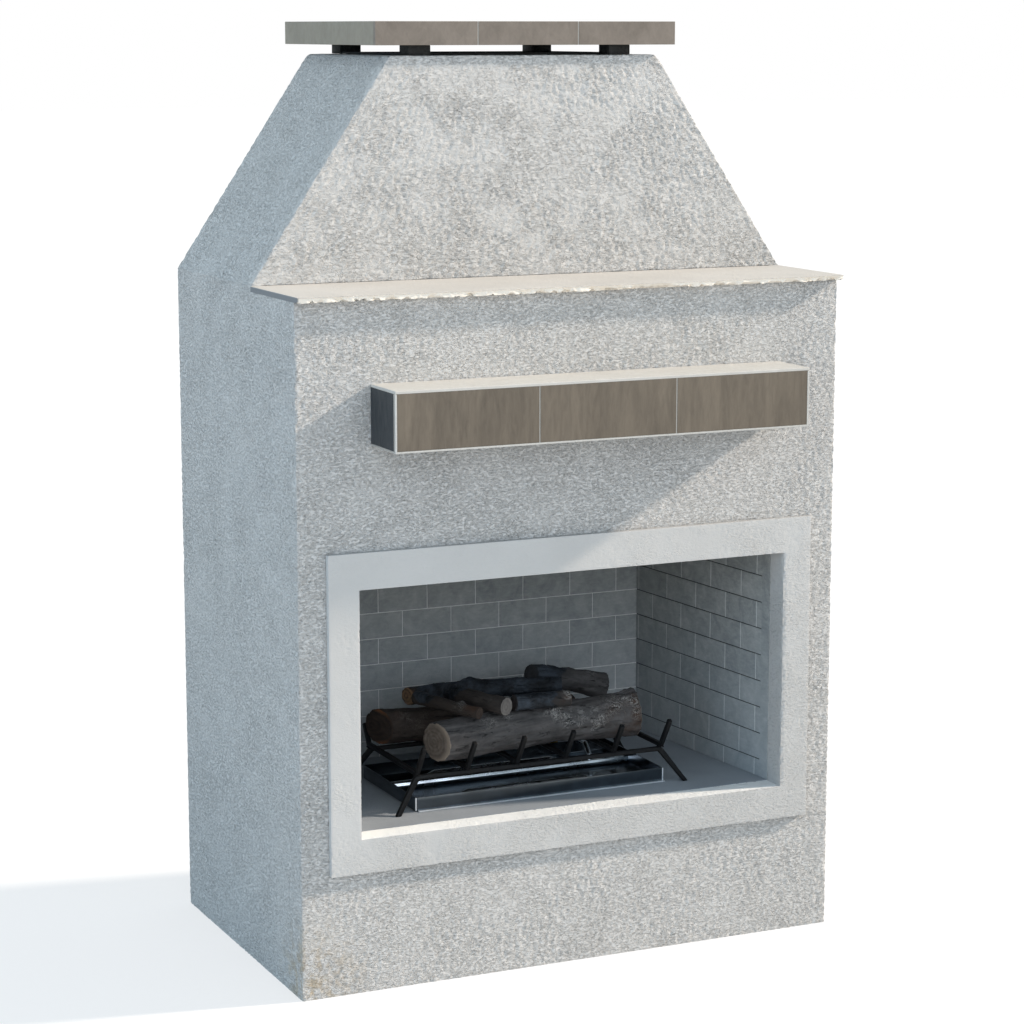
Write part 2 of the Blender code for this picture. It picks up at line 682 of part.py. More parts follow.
def tile_row(names, left, right, front_y, bottom, top, material):
    """A row of equal face tiles with a joint between neighbours."""
    pitch = (right - left + TILE_JOINT) / len(names)
    for index, name in enumerate(names):
        start = left + index * pitch
        low = (start, front_y, bottom)
        high = (start + pitch - TILE_JOINT, front_y + TILE, top)
        make_tile(name, low, high, material)


def make_mantel():
    """A tiled box shelf fixed to the front board."""
    left, right = MANTEL_SHIFT - MANTEL_WIDTH / 2, MANTEL_SHIFT + MANTEL_WIDTH / 2
    back_y = FRONT_Y - SEAT
    front_y = FRONT_Y - MANTEL_DEPTH
    core_front = front_y + TILE + SEAT
    inset = TILE + SEAT
    core_low = (left + inset, core_front, MANTEL_BOTTOM)
    box("mantel_core", core_low, (right - inset, back_y, MANTEL_TILE_TOP), BOARD_GREY)
    names = ("mantel_left_tile", "mantel_middle_tile", "mantel_right_tile")
    bottom, top = MANTEL_BOTTOM + MANTEL_TRIM, MANTEL_TILE_TOP
    tile_row(names, left + MANTEL_TRIM, right - MANTEL_TRIM, front_y, bottom, top, BROWN_TILE)
    for name, start in (("mantel_left_end_tile", left), ("mantel_right_end_tile", right - TILE)):
        make_tile(name, (start, core_front, bottom), (start + TILE, back_y, top), BROWN_TILE)
    top_low = (left, front_y, MANTEL_TILE_TOP + SEAT)
    make_tile("mantel_top_tile", top_low, (right, back_y, MANTEL_BOTTOM + MANTEL_HEIGHT), CREAM_TILE)


def make_cap():
    """The flat chimney cap, tiled on its front and ends, on four short posts."""
    half = HOOD_TOP_WIDTH / 2 + CAP_SIDE_OVERHANG
    front_y, back_y = HOOD_FRONT_Y - CAP_FRONT_OVERHANG, BACK_Y + CAP_BACK_OVERHANG
    bottom, top = CAP_BOTTOM, CAP_BOTTOM + CAP_THICKNESS
    inset = TILE + SEAT
    box("cap_core", (inset - half, front_y + inset, bottom), (half - inset, back_y, top), BOARD_GREY)
    names = ("cap_left_tile", "cap_middle_tile", "cap_right_tile")
    tile_row(names, -half, half, front_y, bottom, top, BROWN_TILE)
    side_y = front_y + inset
    make_tile("cap_left_end_tile", (-half, side_y, bottom), (TILE - half, back_y, top), BROWN_TILE)
    make_tile("cap_right_end_tile", (half - TILE, side_y, bottom), (half, back_y, top), BROWN_TILE)
    for name, x, y in (
        ("cap_post_front_left", -POST_X, POST_FRONT_Y),
        ("cap_post_front_right", POST_X, POST_FRONT_Y),
        ("cap_post_rear_left", -POST_X, POST_BACK_Y),
        ("cap_post_rear_right", POST_X, POST_BACK_Y),
    ):
        low = (x - POST / 2, y - POST / 2, HOOD_HEIGHT + SEAT)
        box(name, low, (x + POST / 2, y + POST / 2, CAP_BOTTOM - SEAT), FLUE_BLACK)


# Gas burner and its supply


def make_pan():
    """The open tray, with an outturned front flange and two pressed ribs in its floor."""
    half = PAN_WIDTH / 2
    left, right = GAS_SET_SHIFT - half, GAS_SET_SHIFT + half
    front, back = PAN_FRONT_Y, PAN_FRONT_Y + PAN_DEPTH
    bottom = HEARTH + SEAT
    pan = box("burner_pan", (left, front, bottom), (right, back, bottom + PAN_HEIGHT), PAN_STEEL)
    flange_low = (left + PAN_FLANGE, front - PAN_FLANGE, bottom)
    flange_high = (right + PAN_WALL, front + PAN_WALL / 2, bottom + PAN_WALL)
    combine(pan, box("pan_flange", flange_low, flange_high, PAN_STEEL), "UNION")
    cut_box(pan, (left + PAN_WALL, front + PAN_WALL, bottom + PAN_WALL),
            (right - PAN_WALL, back - PAN_WALL, bottom + PAN_HEIGHT + OVERRUN))
    for number, share in enumerate(PAN_RIB_SHARES):
        rib = pan_rib("pan_rib_%d" % number, front + share * PAN_DEPTH, bottom + PAN_WALL)
        combine(pan, rib, "UNION")


def pan_rib(name, y, floor):
    """A low ridge with pointed ends, made from a cube whose top edge is drawn together."""
    low = (GAS_SET_SHIFT - PAN_RIB_LENGTH / 2, y - PAN_RIB_WIDTH / 2, floor - PAN_WALL / 2)
    high = (GAS_SET_SHIFT + PAN_RIB_LENGTH / 2, y + PAN_RIB_WIDTH / 2, floor + PAN_RIB_HEIGHT)
    bm = cube_between(low, high)
    for vertex in bm.verts:
        if vertex.co.z > floor:
            vertex.co.y = y
            vertex.co.x += PAN_RIB_WIDTH if vertex.co.x < GAS_SET_SHIFT else -PAN_RIB_WIDTH
    bmesh.ops.remove_doubles(bm, verts=bm.verts, dist=SEAT / 10)
    return from_bmesh(name, bm, PAN_STEEL)


def make_burner():
    """The burner tube across the pan and the feed that climbs over the pan's back wall."""
    y = BURNER_Y
    height = HEARTH + SEAT + PAN_WALL + SEAT + BURNER_RADIUS
    reach = PAN_WIDTH / 2 - PAN_WALL - SEAT
    ends = [(GAS_SET_SHIFT - reach, y, height), (GAS_SET_SHIFT + reach, y, height)]
    burner = tube_along("burner_tube", ends, BURNER_RADIUS, PAN_STEEL)
    feed_z = HEARTH + FEED_HEIGHT
    start_y = VALVE_Y - VALVE_RADIUS - SEAT
    route = [(VALVE_X, start_y, feed_z), (VALVE_X, y + FEED_BEND, feed_z)]
    route += [(VALVE_X, y, feed_z - FEED_BEND), (VALVE_X, y, height)]
    combine(burner, tube_along("burner_feed", route, FEED_RADIUS, PAN_STEEL), "UNION")


def make_gas_supply():
    """The riser through the base and hearth, the valve on top of it and the valve's lever."""
    top = HEARTH + VALVE_FOOT
    centre = (VALVE_X, VALVE_Y)
    pipe = cylinder("gas_riser", centre, PIPE_RADIUS, 0, top, BLACK_PIPE)
    drill(pipe, centre, PIPE_BORE, -OVERRUN, top + OVERRUN)
    valve_bottom = top + SEAT
    valve_top = HEARTH + VALVE_FOOT + VALVE_HEIGHT
    valve = cylinder("gas_valve", centre, VALVE_RADIUS, valve_bottom, valve_top, BRASS)
    stem_top = valve_top + VALVE_STEM
    stem = cylinder("valve_stem", centre, VALVE_STEM_RADIUS, valve_top - VALVE_STEM, stem_top, BRASS)
    combine(valve, stem, "UNION")
    make_lever(stem_top + SEAT)


def make_lever(bottom):
    """The quarter-turn lever. Its object sits on the stem's axis and points to +X when shut."""
    top = bottom + LEVER_THICKNESS
    arm = rectangle(0, -LEVER_WIDTH / 2, LEVER_LENGTH, LEVER_WIDTH / 2)
    lever = plate("gas_valve_lever", arm, 0, top - bottom, IN_XY, BRASS)
    hub = cylinder("lever_hub", (0, 0), LEVER_HUB_RADIUS, 0, top - bottom, BRASS)
    for piece in (lever, hub):
        piece.location = (VALVE_X, VALVE_Y, bottom)
    combine(lever, hub, "UNION")


# Grate


def make_grate_bar(number):
    """One front-to-back bar, turned up at both ends into fingers."""
    pitch = GRATE_SPAN / (GRATE_BARS - 1)
    x = GRATE_LEFT_X + number * pitch
    middle = HEARTH + GRATE_CLEARANCE + GRATE_BAR / 2
    front, back = GRATE_FRONT_Y, GRATE_FRONT_Y + GRATE_DEPTH
    path = [(front - FRONT_FINGER_LEAN, middle + FRONT_FINGER_RISE), (front, middle), (back, middle)]
    path.append((back + REAR_FINGER_LEAN, middle + REAR_FINGER_RISE))
    outline = strip_outline(path, GRATE_BAR)
    return plate("grate_bar_%d" % (number + 1), outline, x - GRATE_BAR / 2, x + GRATE_BAR / 2, IN_YZ, IRON)


def make_grate_rail(name, y, lean):
    """A rail under the bars whose ends turn down into splayed legs."""
    height = GRATE_CLEARANCE - SEAT - GRATE_BAR / 2
    half = GRATE_SPAN / 2
    foot = GRATE_BAR / 2 * math.hypot(LEG_SPLAY, height) / height
    rail = rectangle(-half, height - GRATE_BAR / 2, half, height + GRATE_BAR / 2)
    outline = [(half, height + GRATE_BAR / 2), (-half, height + GRATE_BAR / 2), (-half - foot, height)]
    outline += [(-half - LEG_SPLAY - foot, 0), (-half - LEG_SPLAY + foot, 0), (-half + foot, rail[0][1])]
    outline += [(-x, z) for x, z in reversed(outline[2:])]
    bar = plate(name, outline, -GRATE_BAR / 2, GRATE_BAR / 2, IN_XZ, IRON)
    for vertex in bar.data.vertices:
        drop = max(rail[0][1] - vertex.co.z, 0)
        vertex.co.y += lean * drop / rail[0][1]
        vertex.co += Vector((GAS_SET_SHIFT, y, HEARTH + SEAT))
    return bar


def make_grate():
    """Six bars on a front and a rear rail."""
    bars = [make_grate_bar(number) for number in range(GRATE_BARS)]
    inset = GRATE_BAR / 2
    front = make_grate_rail("grate_front_rail", GRATE_FRONT_Y + inset, -LEG_LEAN)
    rear = make_grate_rail("grate_rear_rail", GRATE_FRONT_Y + GRATE_DEPTH - inset, LEG_LEAN)
    return bars + [front, rear]


# Logs: name, radius, taper from left to right, bend, slope of the left end's cut, and where the
# two ends lie, as shares of the grate's span and depth, counted from its left bar and its front
LOG_SHARES = (
    ("front_log", FRONT_LOG, 1.18, 0.10, 0.10, (0.097, 0.092), (0.950, 0.285)),
    ("rear_log", REAR_LOG, 1.00, -0.06, 0.60, (0.020, 0.895), (0.790, 0.735)),
    ("left_cross_twig", TWIG, 1.15, 0.05, 0.20, (0.245, -0.030), (0.135, 0.690)),
    ("middle_cross_log", CROSS_LOG, 0.95, 0.04, 0.10, (0.363, 0.020), (0.265, 0.690)),
    ("short_top_log", SHORT_LOG, 0.95, 0.05, 0.00, (0.425, 0.175), (0.650, 0.155)),
    ("charred_branch", BRANCH_LOG, 0.90, 0.12, 0.30, (0.150, 0.950), (0.760, 0.790)),
    ("right_top_log", TOP_LOG, 1.35, 0.06, 0.20, (0.673, 0.985), (1.008, 1.042)),
)
BARK_COVERED = ("front_log", "rear_log", "left_cross_twig")
# Logs that keep their slope as they are lowered: how much lower the right end lies than the left
HELD_SLOPES = {"rear_log": 0.0, "right_top_log": 0.050}


def log_radius(share, taper, lumps):
    """A log's radius along its length: an even taper with a few soft swellings."""
    swelling = 1 + 0.05 * math.sin(lumps + 7 * share) + 0.03 * math.sin(2 * lumps + 17 * share)
    return (1 + (taper - 1) * share) * swelling


def make_log(name, radius, length, taper, bend, cut, lumps, material):
    """A log along +X from the origin: a tube of changing radius on a gently bent line."""
    curve = bpy.data.curves.new(name, "CURVE")
    curve.dimensions = "3D"
    curve.bevel_depth = radius
    curve.bevel_resolution = (LOG_SIDES - 4) // 2
    curve.use_fill_caps = True
    spline = curve.splines.new("POLY")
    spline.points.add(LOG_RINGS - 1)
    for index, point in enumerate(spline.points):
        share = index / (LOG_RINGS - 1)
        point.co = (length * share, bend * length * math.sin(math.pi * share) / 2, 0, 1)
        point.radius = log_radius(share, taper, lumps)
    log = from_curve(name, curve, Matrix.Identity(4), material)
    for vertex in log.data.vertices:
        if vertex.co.x < radius / 2:
            vertex.co.x -= cut * vertex.co.y
    log.data.shade_smooth()
    log.data.set_sharp_from_angle(angle=math.radians(50))
    return log


def tree_of(parts):
    """One search tree over all triangles of the given parts, in world places."""
    corners, faces = [], []
    for part in parts:
        first = len(corners)
        corners += [part.matrix_world @ vertex.co for vertex in part.data.vertices]
        faces += [[first + index for index in polygon.vertices] for polygon in part.data.polygons]
    return BVHTree.FromPolygons(corners, faces, epsilon=0.0)


def aim(log, left, right):
    """Place a log made along +X so that its axis runs from the left point to the right point."""
    run = right - left
    turn = run.to_track_quat("X", "Z").to_matrix().to_4x4()
    log.matrix_world = Matrix.Translation(left) @ turn


def settle(log, left, right, below, hold):
    """Lower a log until it nearly touches what is below it: both ends at once, then each end in
    turn, unless it holds its slope."""
    resting_on = tree_of(below)

    def touches(ends, drop):
        for end in ends:
            end.z -= drop
        aim(log, left, right)
        for end in ends:
            end.z += drop
        return tree_of([log]).overlap(resting_on)

    def lowest(ends):
        clear, blocked = 0.0, LOG_STEP
        while blocked < LOG_DROP and not touches(ends, blocked):
            clear, blocked = blocked, blocked + LOG_STEP
        while blocked - clear > LOG_TOLERANCE:
            drop = (clear + blocked) / 2
            clear, blocked = (clear, drop) if touches(ends, drop) else (drop, blocked)
        for end in ends:
            end.z -= clear

    lowest((left, right))
    for ends in () if hold else ((left,), (right,), (left,), (right,)):
        lowest(ends)
    for end in (left, right):
        end.z += SEAT
    aim(log, left, right)


def over_grate(shares):
    """A point above the grate, from shares of its span and depth."""
    across, along = shares
    x, y = GRATE_LEFT_X + across * GRATE_SPAN, GRATE_FRONT_Y + along * GRATE_DEPTH
    return Vector((x, y, BAR_TOP + LOG_DROP))


def make_logs(grate):
    """Stack the logs one by one, each on the grate and on the logs placed before it."""
    placed = list(grate)
    for number, (name, radius, taper, bend, cut, left_share, right_share) in enumerate(LOG_SHARES):
        left, right = over_grate(left_share), over_grate(right_share)
        material = BARK if name in BARK_COVERED else CHARCOAL
        log = make_log(name, radius, (right - left).length, taper, bend, cut, number, material)
        right.z -= HELD_SLOPES.get(name, 0.0)
        settle(log, left, right, placed, name in HELD_SLOPES)
        placed.append(log)


def main():
    """Build the whole fireplace."""
    make_base_panel()
    make_frame()
    make_body_boards()
    make_ledge()
    make_hood()
    make_surround()
    make_hearth()
    make_firebox_back()
    make_firebox_side("firebox_left_panel", -1)
    make_firebox_side("firebox_right_panel", 1)
    make_smoke_dome()
    make_flue()
    make_mantel()
    make_cap()
    make_pan()
    make_burner()
    make_gas_supply()
    make_logs(make_grate())


for old in list(bpy.data.objects):
    bpy.data.objects.remove(old)
PARTS = new_collection("outdoor_fireplace")
TOOLS = new_collection("cutters")
STUCCO = new_material("stucco", (0.56, 0.57, 0.55), 0.92)
SMOOTH_STUCCO = new_material("smooth_stucco", (0.62, 0.62, 0.60), 0.85)
CREAM_STUCCO = new_material("cream_stucco", (0.76, 0.71, 0.65), 0.75)
BOARD_GREY = new_material("cement_board", (0.35, 0.35, 0.34), 0.9)
STEEL = new_material("galvanised_steel", (0.50, 0.52, 0.54), 0.45, 1.0)
FIREBRICK = new_material("firebrick", (0.22, 0.23, 0.22), 0.95)
HEARTH_GREY = new_material("hearth_slab", (0.36, 0.38, 0.39), 0.8)
FLUE_BLACK = new_material("black_flue_steel", (0.012, 0.012, 0.013), 0.5, 0.6)
BROWN_TILE = new_material("brown_tile", (0.20, 0.18, 0.155), 0.35)
CREAM_TILE = new_material("cream_tile", (0.74, 0.70, 0.64), 0.4)
PAN_STEEL = new_material("dark_pan_steel", (0.06, 0.07, 0.08), 0.25, 0.9)
BLACK_PIPE = new_material("black_iron_pipe", (0.02, 0.02, 0.022), 0.5, 0.6)
BRASS = new_material("brass", (0.60, 0.44, 0.20), 0.35, 1.0)
IRON = new_material("black_iron", (0.010, 0.010, 0.011), 0.6, 0.5)
BARK = new_material("bark", (0.075, 0.060, 0.050), 0.95)
CHARCOAL = new_material("charcoal", (0.018, 0.018, 0.020), 0.9)
main()
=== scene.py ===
# %% [markdown]
# # Outdoor fireplace: the looks
# The CAD model gives every piece its place and size. This notebook dresses it: coats of sprayed
# stucco, pressed brick panels, clouded porcelain tiles, a black grate and a set of cast logs.
# The first cell loads the CAD nodes as a fixed frame, and nothing here moves them.

import math

import bmesh
import bpy
from mathutils import Matrix, Vector, noise


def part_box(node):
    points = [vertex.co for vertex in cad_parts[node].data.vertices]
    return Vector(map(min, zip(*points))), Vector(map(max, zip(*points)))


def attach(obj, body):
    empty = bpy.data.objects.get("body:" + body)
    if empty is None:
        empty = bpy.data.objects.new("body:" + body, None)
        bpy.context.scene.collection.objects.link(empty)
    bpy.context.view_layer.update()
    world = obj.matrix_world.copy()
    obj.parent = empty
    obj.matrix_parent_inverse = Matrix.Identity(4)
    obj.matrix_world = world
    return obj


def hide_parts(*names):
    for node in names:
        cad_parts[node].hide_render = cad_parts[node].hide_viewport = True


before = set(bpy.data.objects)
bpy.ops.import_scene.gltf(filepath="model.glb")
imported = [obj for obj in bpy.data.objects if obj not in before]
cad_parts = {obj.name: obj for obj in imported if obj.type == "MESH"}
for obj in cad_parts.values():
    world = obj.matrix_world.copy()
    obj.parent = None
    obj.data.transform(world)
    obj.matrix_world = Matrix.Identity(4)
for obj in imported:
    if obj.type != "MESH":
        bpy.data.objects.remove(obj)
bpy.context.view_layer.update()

# %% [markdown]
# ## Camera and light
# The camera was solved from the body's vanishing lines: 24.8 degrees to the left of the front,
# almost level with the chimney cap, and far away, so the lens is long.
# The sun is low on the right. It rakes over the front, which is what makes a sprayed coat look
# rough, and the open sky fills the shade with a cooler light.

# %% Camera
def add_object(name, data):
    """A new object in the scene that shows some data."""
    item = bpy.data.objects.new(name, data)
    bpy.context.scene.collection.objects.link(item)
    return item


camera_data = bpy.data.cameras.new("camera")
camera_data.lens = 98.33
camera_data.sensor_width = 36.0
camera_data.clip_end = 200.0
camera = add_object("camera", camera_data)
camera.location = (-2.482, -5.421, 1.932)
camera.rotation_euler = (math.radians(80.181), 0.0, math.radians(-24.777))
bpy.context.scene.camera = camera
bpy.context.scene.view_settings.view_transform = "Standard"
print("camera", tuple(round(value, 3) for value in camera.location))

# %% Sun and fills
SUN_DIRECTION = Vector((1.0, -0.19, 0.556)).normalized()
BODY_MIDDLE = Vector((0, 0, 0.9))


def shine_from(light, direction):
    """Turn a light so that it shines from a direction."""
    light.rotation_euler = direction.to_track_quat("Z", "Y").to_euler()


def add_fill(name, place, size, energy, colour):
    """A wide soft disk that looks at the middle of the body."""
    data = bpy.data.lights.new(name, "AREA")
    data.shape = "DISK"
    data.size, data.energy, data.color = size, energy, colour
    light = add_object(name, data)
    light.location = place
    shine_from(light, Vector(place) - BODY_MIDDLE)


sun_data = bpy.data.lights.new("low_sun", "SUN")
sun_data.energy, sun_data.color, sun_data.angle = 4.5, (1.0, 0.86, 0.72), math.radians(3.2)
shine_from(add_object("low_sun", sun_data), SUN_DIRECTION)
add_fill("front_fill", (-0.6, -8.0, 3.2), 5.0, 112.0, (0.86, 0.90, 1.0))
add_fill("left_sky", (-6.0, -1.5, 2.2), 4.0, 72.0, (0.35, 0.66, 1.0))
print("sun from", tuple(round(value, 2) for value in SUN_DIRECTION))

# %% [markdown]
# ## Helpers for shader nodes
# Each finish below is a small node tree that is built up step by step. A step adds nodes and gives
# back their result, so that a finish reads as a list of its layers. A field is a value that
# changes from place to place.

# %% Layers of a node tree
class Layers:
    """A node tree that grows step by step."""

    def __init__(self, tree):
        self.tree = tree
        self.shader = tree.nodes.get("Principled BSDF")

    def feed(self, socket, value):
        """Link a socket to another one, or give it a plain value."""
        if isinstance(value, bpy.types.NodeSocket):
            self.tree.links.new(value, socket)
        else:
            socket.default_value = value

    def node(self, kind, settings=None, **inputs):
        """Add a node. Settings are its properties; inputs go by name, or by number as i0, i1."""
        node = self.tree.nodes.new("ShaderNode" + kind)
        for key, value in (settings or {}).items():
            setattr(node, key, value)
        for key, value in inputs.items():
            by_number = key[0] == "i" and key[1:].isdigit()
            self.feed(node.inputs[int(key[1:]) if by_number else key], value)
        return node

    def place(self, stretch=(1, 1, 1)):
        """Object coordinates, which are world metres here, stretched along their axes."""
        coordinates = self.node("TexCoord").outputs["Object"]
        return self.node("Mapping", Vector=coordinates, Scale=stretch).outputs["Vector"]

    def mark(self, name):
        """The field that a mesh's points carry under a name."""
        return self.node("Attribute", {"attribute_name": name}).outputs["Fac"]

    def cloud(self, place, scale, detail=3.0, roughness=0.5, distortion=0.0):
        """A noise field from 0 to 1."""
        return self.node("TexNoise", Vector=place, Scale=scale, Detail=detail, Roughness=roughness,
                         Distortion=distortion).outputs["Fac"]

    def span(self, value, low, high, start=0.0, end=1.0):
        """Map a field from one range to another, and clamp it."""
        return self.node("MapRange", Value=value, i1=low, i2=high, i3=start, i4=end).outputs["Result"]

    def math(self, operation, first, second=0.5, third=0.5):
        """One math step between fields."""
        return self.node("Math", {"operation": operation}, i0=first, i1=second, i2=third).outputs[0]

    def times(self, first, second):
        """Two fields multiplied."""
        return self.math("MULTIPLY", first, second)

    def scaled(self, field, scale, base):
        """A field times a number, added to another field."""
        return self.math("MULTIPLY_ADD", field, scale, base)

    def blend(self, share, first, second):
        """Mix two colours by a field."""
        first, second = ((*part, 1.0) if isinstance(part, tuple) else part for part in (first, second))
        return self.node("Mix", {"data_type": "RGBA"}, i0=share, i6=first, i7=second).outputs[2]

    def end(self, colour, height=None, distance=0.0, gloss=None):
        """Give the shader its colour, a bump from a height field, and a roughness that varies."""
        self.feed(self.shader.inputs["Base Color"], colour)
        if gloss is not None:
            self.feed(self.shader.inputs["Roughness"], gloss)
        if height is not None:
            bump = self.node("Bump", Height=height, Distance=distance, Strength=1.0)
            self.feed(self.shader.inputs["Normal"], bump.outputs["Normal"])


def start_finish(name, roughness=0.9, metallic=0.0, specular=0.5):
    """A new material with its shader's plain values set, and its layers."""
    material = bpy.data.materials.new(name)
    material.use_nodes = True
    mat = Layers(material.node_tree)
    for key, value in (("Roughness", roughness), ("Metallic", metallic), ("Specular IOR Level", specular)):
        mat.shader.inputs[key].default_value = value
    return material, mat


def darken(colour, share):
    """A plain colour scaled down."""
    return tuple(share * part for part in colour)


print("helpers ready")

# %% [markdown]
# ## Floor and background
# The background is white for the camera only. For everything else the world is the cool sky.
# The floor is pale; the camera sees it close to white, with a faint shadow.

# %% Sky
world = bpy.data.worlds.new("sky")
world.use_nodes = True
bpy.context.scene.world = world
sky = Layers(world.node_tree)
sky.tree.nodes.clear()
rays = sky.node("LightPath").outputs
seen = sky.math("MAXIMUM", rays["Is Camera Ray"], rays["Is Transmission Ray"])
background = sky.node("Background", Color=sky.blend(seen, (0.56, 0.66, 0.73), (1.0, 1.0, 1.0)), Strength=1.0)
sky.feed(sky.node("OutputWorld").inputs["Surface"], background.outputs[0])
print("sky ready")

# %% Floor
FLOOR_SIZE = 60.0


def mesh_object(name, bm, finish=None):
    """A new object from a bmesh, which is freed."""
    mesh = bpy.data.meshes.new(name)
    bm.to_mesh(mesh)
    bm.free()
    if finish:
        mesh.materials.append(finish)
    return add_object(name, mesh)


floor_finish, mat = start_finish("pale_floor", roughness=1.0, specular=0.0)
seen = mat.node("LightPath").outputs["Is Camera Ray"]
mat.end(mat.blend(seen, (0.55, 0.55, 0.55), (0.93, 0.93, 0.93)))
glow = mat.node("Emission", Color=(1, 1, 1, 1), Strength=1.0).outputs[0]
mix = mat.node("MixShader", i0=mat.times(seen, 0.62), i1=mat.shader.outputs[0], i2=glow)
mat.feed(mat.tree.nodes["Material Output"].inputs["Surface"], mix.outputs[0])
bm = bmesh.new()
bmesh.ops.create_grid(bm, x_segments=1, y_segments=1, size=FLOOR_SIZE)
floor = mesh_object("floor", bm, floor_finish)
print("floor", tuple(floor.dimensions))

# %% [markdown]
# ## Stucco coats
# A sprayed coat is flat lumps with pits between them, rougher in some patches than in others.
# Each board of the body and the hood gets a fine grid for its outer face, whose points sink by the
# depth of the coat there. The depth depends only on the place, so two boards that meet in one
# plane match along their seam, and corners are rounded by the same rule.

# %% Planes of the body and the hood
def corners(node):
    """A CAD node's lowest and highest corners as vectors."""
    low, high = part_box(node)
    return Vector(low), Vector(high)


HALF_WIDTH = corners("front_board")[1].x
FRONT = corners("front_board")[0].y
BACK = corners("back_board")[1].y
SHOULDER = corners("left_board")[1].z
LEDGE_UNDER = corners("ledge_slab")[0].z
HOOD_FRONT = corners("hood_front_board")[0].y
LID_UNDER, HOOD_TOP = corners("hood_top_board")[0].z, corners("hood_top_board")[1].z
BOARD = corners("front_board")[1].y - FRONT
LEAN = (HALF_WIDTH - corners("hood_top_board")[1].x) / (LID_UNDER - SHOULDER)
SLANT = Vector((1.0, 0.0, LEAN)).normalized()
SHARED_PLANES = [
    (Vector((-1, 0, 0)), Vector((-HALF_WIDTH, 0, 0))),
    (Vector((1, 0, 0)), Vector((HALF_WIDTH, 0, 0))),
    (Vector((0, 1, 0)), Vector((0, BACK, 0))),
    (Vector((-SLANT.x, 0, SLANT.z)), Vector((-HALF_WIDTH, 0, SHOULDER))),
    (SLANT, Vector((HALF_WIDTH, 0, SHOULDER))),
    (Vector((0, 0, 1)), Vector((0, 0, HOOD_TOP))),
]
BODY_PLANES = SHARED_PLANES + [(Vector((0, -1, 0)), Vector((0, FRONT, 0)))]
HOOD_PLANES = SHARED_PLANES + [(Vector((0, -1, 0)), Vector((0, HOOD_FRONT, 0)))]
print("half width", round(HALF_WIDTH, 4), "shoulder", round(SHOULDER, 4), "lean", round(LEAN, 3))


# %% Depth of the coat at a place
def fade(value, low, high):
    """A smooth step from 0 at low to 1 at high, in either direction."""
    share = min(max((value - low) / (high - low), 0.0), 1.0)
    return share * share * (3 - 2 * share)


def noise_at(x, y, z):
    """Smooth noise from -1 to 1 at a place."""
    return noise.noise(Vector((x, y, z)))


def low_band(place):
    """Where the coat was sprayed thicker: low on the hood and beside the right edge."""
    over = place.z - SHOULDER
    return max(fade(over, 0.22, 0.05) * fade(over, -0.02, 0.0), fade(place.x, 0.40, 0.58))


def coat_depth(place):
    """How far the sprayed coat lies below its highest lumps."""
    x, y, z = place
    grain = noise_at(x * 120, y * 120, z * 165)
    speck = noise_at(x * 230, y * 230, z * 260)
    patch = noise_at(x * 6, y * 6, z * 9)
    swell = noise.noise(place * 21)
    pit = fade(grain + 0.4 * speck, 0.14, -0.30)
    rough = 0.40 + 0.60 * fade(patch + 0.35 * low_band(place), -0.30, 0.25)
    return 0.0001 + 0.0015 * pit * rough + 0.0003 * (0.5 + 0.5 * swell)


print("coat depth at the origin, mm:", round(1000 * coat_depth(Vector((0, 0, 0))), 2))

# %% Sink and round a board's outer skin
CORNER_ROUNDING = 0.0026
ALIKE = 0.6  # two normals whose dot product is more than this count as one
# a normal that points this far to the right, towards the sun, gets painted shade
SUN_SIDE_FROM, SUN_SIDE_SPAN = 0.7, 0.15  # how far to the right a normal points before it is marked


def beneath(planes):
    """For a place: how far it lies beneath each plane."""
    return lambda place: [(normal, (point - place).dot(normal)) for normal, point in planes]


def lay_coat(bm, nearby, depth=coat_depth, rounding=CORNER_ROUNDING):
    """Sink every point that lies on an outer plane, round the corners, and mark what faces right, towards the
    sun, for painted shade.

    Planes whose normals are alike count as one, so that a shallow kink is not rounded away."""
    sun_side_shade = bm.verts.layers.float.new("sun_side_shade")
    for vertex in bm.verts:
        near = [(normal, rounding - below) for normal, below in nearby(vertex.co) if below < rounding]
        if not near or max(overlap for _, overlap in near) < rounding - 1e-5:
            continue
        reach = Vector((0, 0, 0))
        while near:
            first = near[0][0]
            alike = [pair for pair in near if pair[0].dot(first) > ALIKE]
            near = [pair for pair in near if pair[0].dot(first) <= ALIKE]
            heading = sum((normal * overlap for normal, overlap in alike), Vector()).normalized()
            reach += heading * max(overlap for _, overlap in alike)
        outward = reach.normalized()
        # painted shade: points that face the sun on the right are marked to be painted darker, so their colour
        # does not glare
        vertex[sun_side_shade] = min(1.0, max(0.0, (outward.x - SUN_SIDE_FROM) / SUN_SIDE_SPAN))
        vertex.co -= outward * (reach.length - rounding + depth(vertex.co))


print("corners rounded by mm:", round(1000 * CORNER_ROUNDING, 1))


# %% Grids
def lay_grid(low, high, across, step, lengthen=1.0):
    """A new grid that stands in the XZ plane (across is x) or the YZ plane (y), or lies flat."""
    size = high - low
    right, up, out = {
        "flat": (Vector((size.x, 0, 0)), Vector((0, size.y, 0)), Vector((0, 0, 1))),
        "x": (Vector((size.x, 0, 0)), Vector((0, 0, size.z)), Vector((0, -1, 0))),
        "y": (Vector((0, size.y, 0)), Vector((0, 0, size.z)), Vector((1, 0, 0))),
    }[across]
    place = Matrix([[*row] for row in zip(right, up, out, (low + high) / 2)] + [[0, 0, 0, 1]])
    columns, rows = round(right.length / step), round(up.length * lengthen / step)
    bm = bmesh.new()
    bmesh.ops.create_grid(bm, x_segments=columns, y_segments=rows, size=0.5, matrix=place)
    return bm


def snap_line(bm, axis, value, step):
    """Move the grid line that lies nearest to a value onto it."""
    for vertex in bm.verts:
        if abs(vertex.co[axis] - value) <= step / 2:
            vertex.co[axis] = value


def drop_faces(bm, outside):
    """Delete the faces whose middle passes a test."""
    doomed = [face for face in bm.faces if outside(face.calc_center_median())]
    bmesh.ops.delete(bm, geom=doomed, context="FACES")


